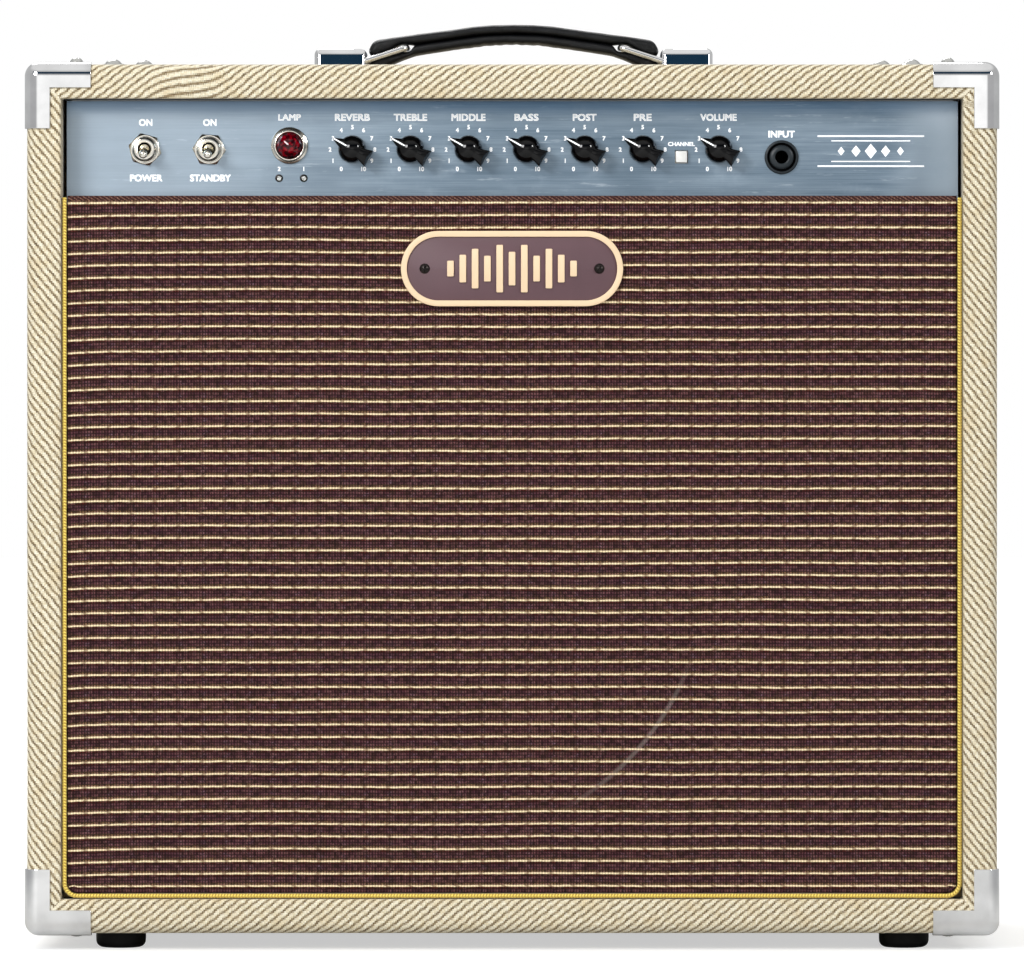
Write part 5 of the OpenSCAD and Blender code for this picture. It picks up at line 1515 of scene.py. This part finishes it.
def make_vent():
    """A pressed steel screen with two rows of rounded slots."""
    low, high = box_mm("vent_grille")
    slots, slot_w, lap = 24, 5.0, 0.4
    half = high.x - VENT_RIM
    z0, z1 = low.z + VENT_RIM, high.z - VENT_RIM
    pitch = (2 * half - slot_w) / slots
    slot_h = (z1 - z0) / 2 - 6
    xs = [-half + pitch / 2 + i * pitch for i in range(slots)]
    rows = [z0 + 4, z0 + 8 + slot_h]
    screen = Shape()

    def bar(x0, x1, a, b):
        screen.add(shell((x0, low.y, a), (x1, high.y, b), 0.4, arc=2))

    bar(low.x, high.x, low.z, rows[0])
    bar(low.x, high.x, rows[0] + slot_h, rows[1])
    bar(low.x, high.x, rows[1] + slot_h, high.z)
    for z in rows:
        bar(low.x, xs[0], z - lap, z + slot_h + lap)
        bar(xs[-1] + slot_w, high.x, z - lap, z + slot_h + lap)
        for a, b in zip(xs, xs[1:]):
            bar(a + slot_w, b, z - lap, z + slot_h + lap)
    install(screen.make("vent_screen", "painted_steel"), "cabinet", "painted_steel", "vent_grille")


def make_cone():
    """The ribbed cone and its dust cap. The cone stops short of the spider, even when it is pushed in."""
    low, high = box_mm("speaker_cone")
    at = (speaker_x, baffle_back, speaker_z)
    throw, clear, paper = 2.0, 1.2, 0.8
    mouth_r, neck_r, ribs, count = 124, 22.6, 9, 40
    z0, z1 = low.y - baffle_back + 0.3, high.y - baffle_back - throw - clear
    profile = []
    for k in range(count + 1):
        f = k / count
        rib = 0.35 * math.cos(2 * math.pi * f * ribs) * (1 - f)
        profile.append((mouth_r + (neck_r - mouth_r) * f, z0 + (z1 - paper - z0) * f ** 0.88 + rib))
    cone = Shape()
    cone.add(lathe(profile + [(r, z + paper) for r, z in profile[::-1]] + profile[:1], 120), at, REAR)
    install(cone.make("ribbed_cone", "cone_paper", sharp=70), "cone_assembly", "cone_paper", "speaker_cone")
    cap_r, cap_h, felt = 30, 9, 0.7
    ball = (cap_r * cap_r + cap_h * cap_h) / (2 * cap_h)
    dome = [(ball * math.sin(a), 42.6 + ball - cap_h - ball * math.cos(a))
            for a in (math.asin(cap_r / ball) * k / 14 for k in range(15))]
    cap = Shape()
    cap.add(lathe(dome + [(r, z + felt) for r, z in dome[::-1]], 72), at, REAR)
    install(cap.make("dome_cap", "cap_felt", sharp=70), "cone_assembly", "cap_felt", "dust_cap")


def make_magnet():
    """The ferrite ring between its plates."""
    m_low, m_high = box_mm("speaker_magnet")
    y_low, y_high = box_mm("speaker_yoke")
    rm, rp = (m_high.x - m_low.x) / 2, (y_high.x - y_low.x) / 2
    t, plate_t = m_high.y - m_low.y, y_high.y - m_high.y
    hole_r, c = 30, 1.6
    ring = [(hole_r, 0), (rm - c, 0), (rm - 0.4, 0.5), (rm, c), (rm, t - c), (rm - 0.4, t - 0.5), (rm - c, t),
            (hole_r, t), (hole_r, 0)]
    magnet = Shape()
    magnet.add(lathe(ring, 96), (speaker_x, m_low.y, speaker_z), REAR)
    install(magnet.make("ferrite_ring", "ferrite", sharp=30), "cabinet", "ferrite", "speaker_magnet")
    back = [(0, 0), (rp - 1.4, 0), (rp, 1.2), (rp, plate_t - 1.6), (rp - 0.5, plate_t - 0.5), (rp - 1.6, plate_t),
            (16, plate_t), (14, plate_t - 1.2), (6.5, plate_t - 1.2), (6, plate_t - 6), (0, plate_t - 6)]
    front = [(23.4, 0), (rp - 1.2, 0), (rp, 1.2), (rp, 6.8), (rp - 1.2, 8), (23.4, 8), (23.4, 0)]
    pole = [(0, 0.4), (20.6, 0.4), (21.3, 1.2), (21.3, 28)]
    yoke = Shape()
    for profile, sides, y in ((back, 96, m_high.y), (front, 96, y_low.y), (pole, 72, y_low.y)):
        yoke.add(lathe(profile, sides), (speaker_x, y, speaker_z), REAR)
    install(yoke.make("yoke_plates", "zinc_steel", sharp=30), "cabinet", "zinc_steel", "speaker_yoke")


def make_valves():
    """Glass valves: a domed envelope, grey plates inside on four rods between two insulators, and a silvered
    patch at the tip."""
    for node, name, xs in (("preamp_tubes", "small_valves", (-20, 25, 70)),
                           ("power_tubes", "large_valves", (-120, -75))):
        low, high = box_mm(node)
        r, y = (high.y - low.y) / 2, (high.y + low.y) / 2
        tip = high.z - low.z
        glass = [(r - 1, 0.2), (r, 2), (r, tip - 9), (r - 0.5, tip - 7.2), (r - 1.8, tip - 5.3), (r - 4, tip - 3.9),
                 (r - 7, tip - 3.1), (1.8, tip - 2.6), (1.1, tip - 1.2), (0, tip - 0.3)]
        silver = [(r - 1.6, tip - 9), (r - 2.6, tip - 6.6), (r - 5, tip - 4.6), (0, tip - 3.9)]
        rod = lathe([(0, 1), (0.5, 1), (0.5, tip - 13), (0, tip - 13)], 10)
        valves = Shape()
        for x in xs:
            at = (x, y, high.z)
            valves.add(lathe(glass, 40), at, DOWN)
            valves.add(soft_plate(round_rect(11, 7.5, 2.5), 8, tip - 16, 0.5), at, DOWN, 1)
            for a in turns(4):
                valves.add(moved(rod, 7.2 * math.cos(a), 4.6 * math.sin(a)), at, DOWN, 2)
            for z in (7, tip - 15):
                valves.add(lathe([(0, z), (8.6, z), (8.6, z + 0.5), (0, z + 0.5)], 32), at, DOWN, 3)
            valves.add(lathe(silver, 32), at, DOWN, 4)
        piece = valves.make(name, "clear_glass", "steel_dark", "steel_bright", "ceramic_white", "getter")
        install(piece, "cabinet", "clear_glass", node)


def make_inlet():
    """The mains inlet: a flanged shroud with three flat pins and two screws."""
    low, high = box_mm("mains_inlet")
    mid = (low + high) / 2
    t = high.y - chassis_back
    at = (mid.x, chassis_back, mid.z)
    outer, inner = round_rect(high.x - low.x, high.z - low.z, 5, 8), round_rect(24, 16, 2.5, 8)
    inlet = Shape()
    inlet.add(stack([(outer, 0), (outer, t - 2.0), (inset(outer, 0.4), t - 1.6), (inset(inner, -1.0), t - 1.6),
                     (inset(inner, -0.8), t - 0.2), (inset(inner, -0.5), t), (inner, t - 0.3), (inner, -13.0)]),
              at, REAR)
    for x, y in ((-7, -2), (0, 2.5), (7, -2)):
        inlet.add(moved(soft_plate(round_rect(2, 4, 0.4, 2), -13.2, -4, 0.2), x, y), at, REAR, 1)
    for x in (-20, 20):
        inlet.add(moved(turned(dome_head(3.0, 1.4), 25 + x), x, 0, t - 1.7), at, REAR, 1)
    piece = inlet.make("inlet_socket", "black_plastic", "steel_bright")
    install(piece, "cabinet", "black_plastic", "mains_inlet")


def repaint():
    """Carried-over CAD nodes take their slot's finish."""
    slots = {row["node"]: row["material_slot"] for row in frame["record"]["subparts"]}
    for name, node in frame["nodes"].items():
        if not node.hide_render:
            node.data.materials.clear()
            node.data.materials.append(finish[slots[name]])


make_finishes()
make_camera()
make_world()
make_stage()

for make in (make_tweed, make_guards, make_screws, make_feet, make_cloth, make_piping, make_badge, make_knobs,
             make_switches, make_lamp, make_button, make_jacks, make_lettering, make_top_bolts, make_brackets,
             make_links, make_grip, make_back_panels, make_vent, make_cone, make_magnet, make_valves, make_inlet):
    make()
repaint()
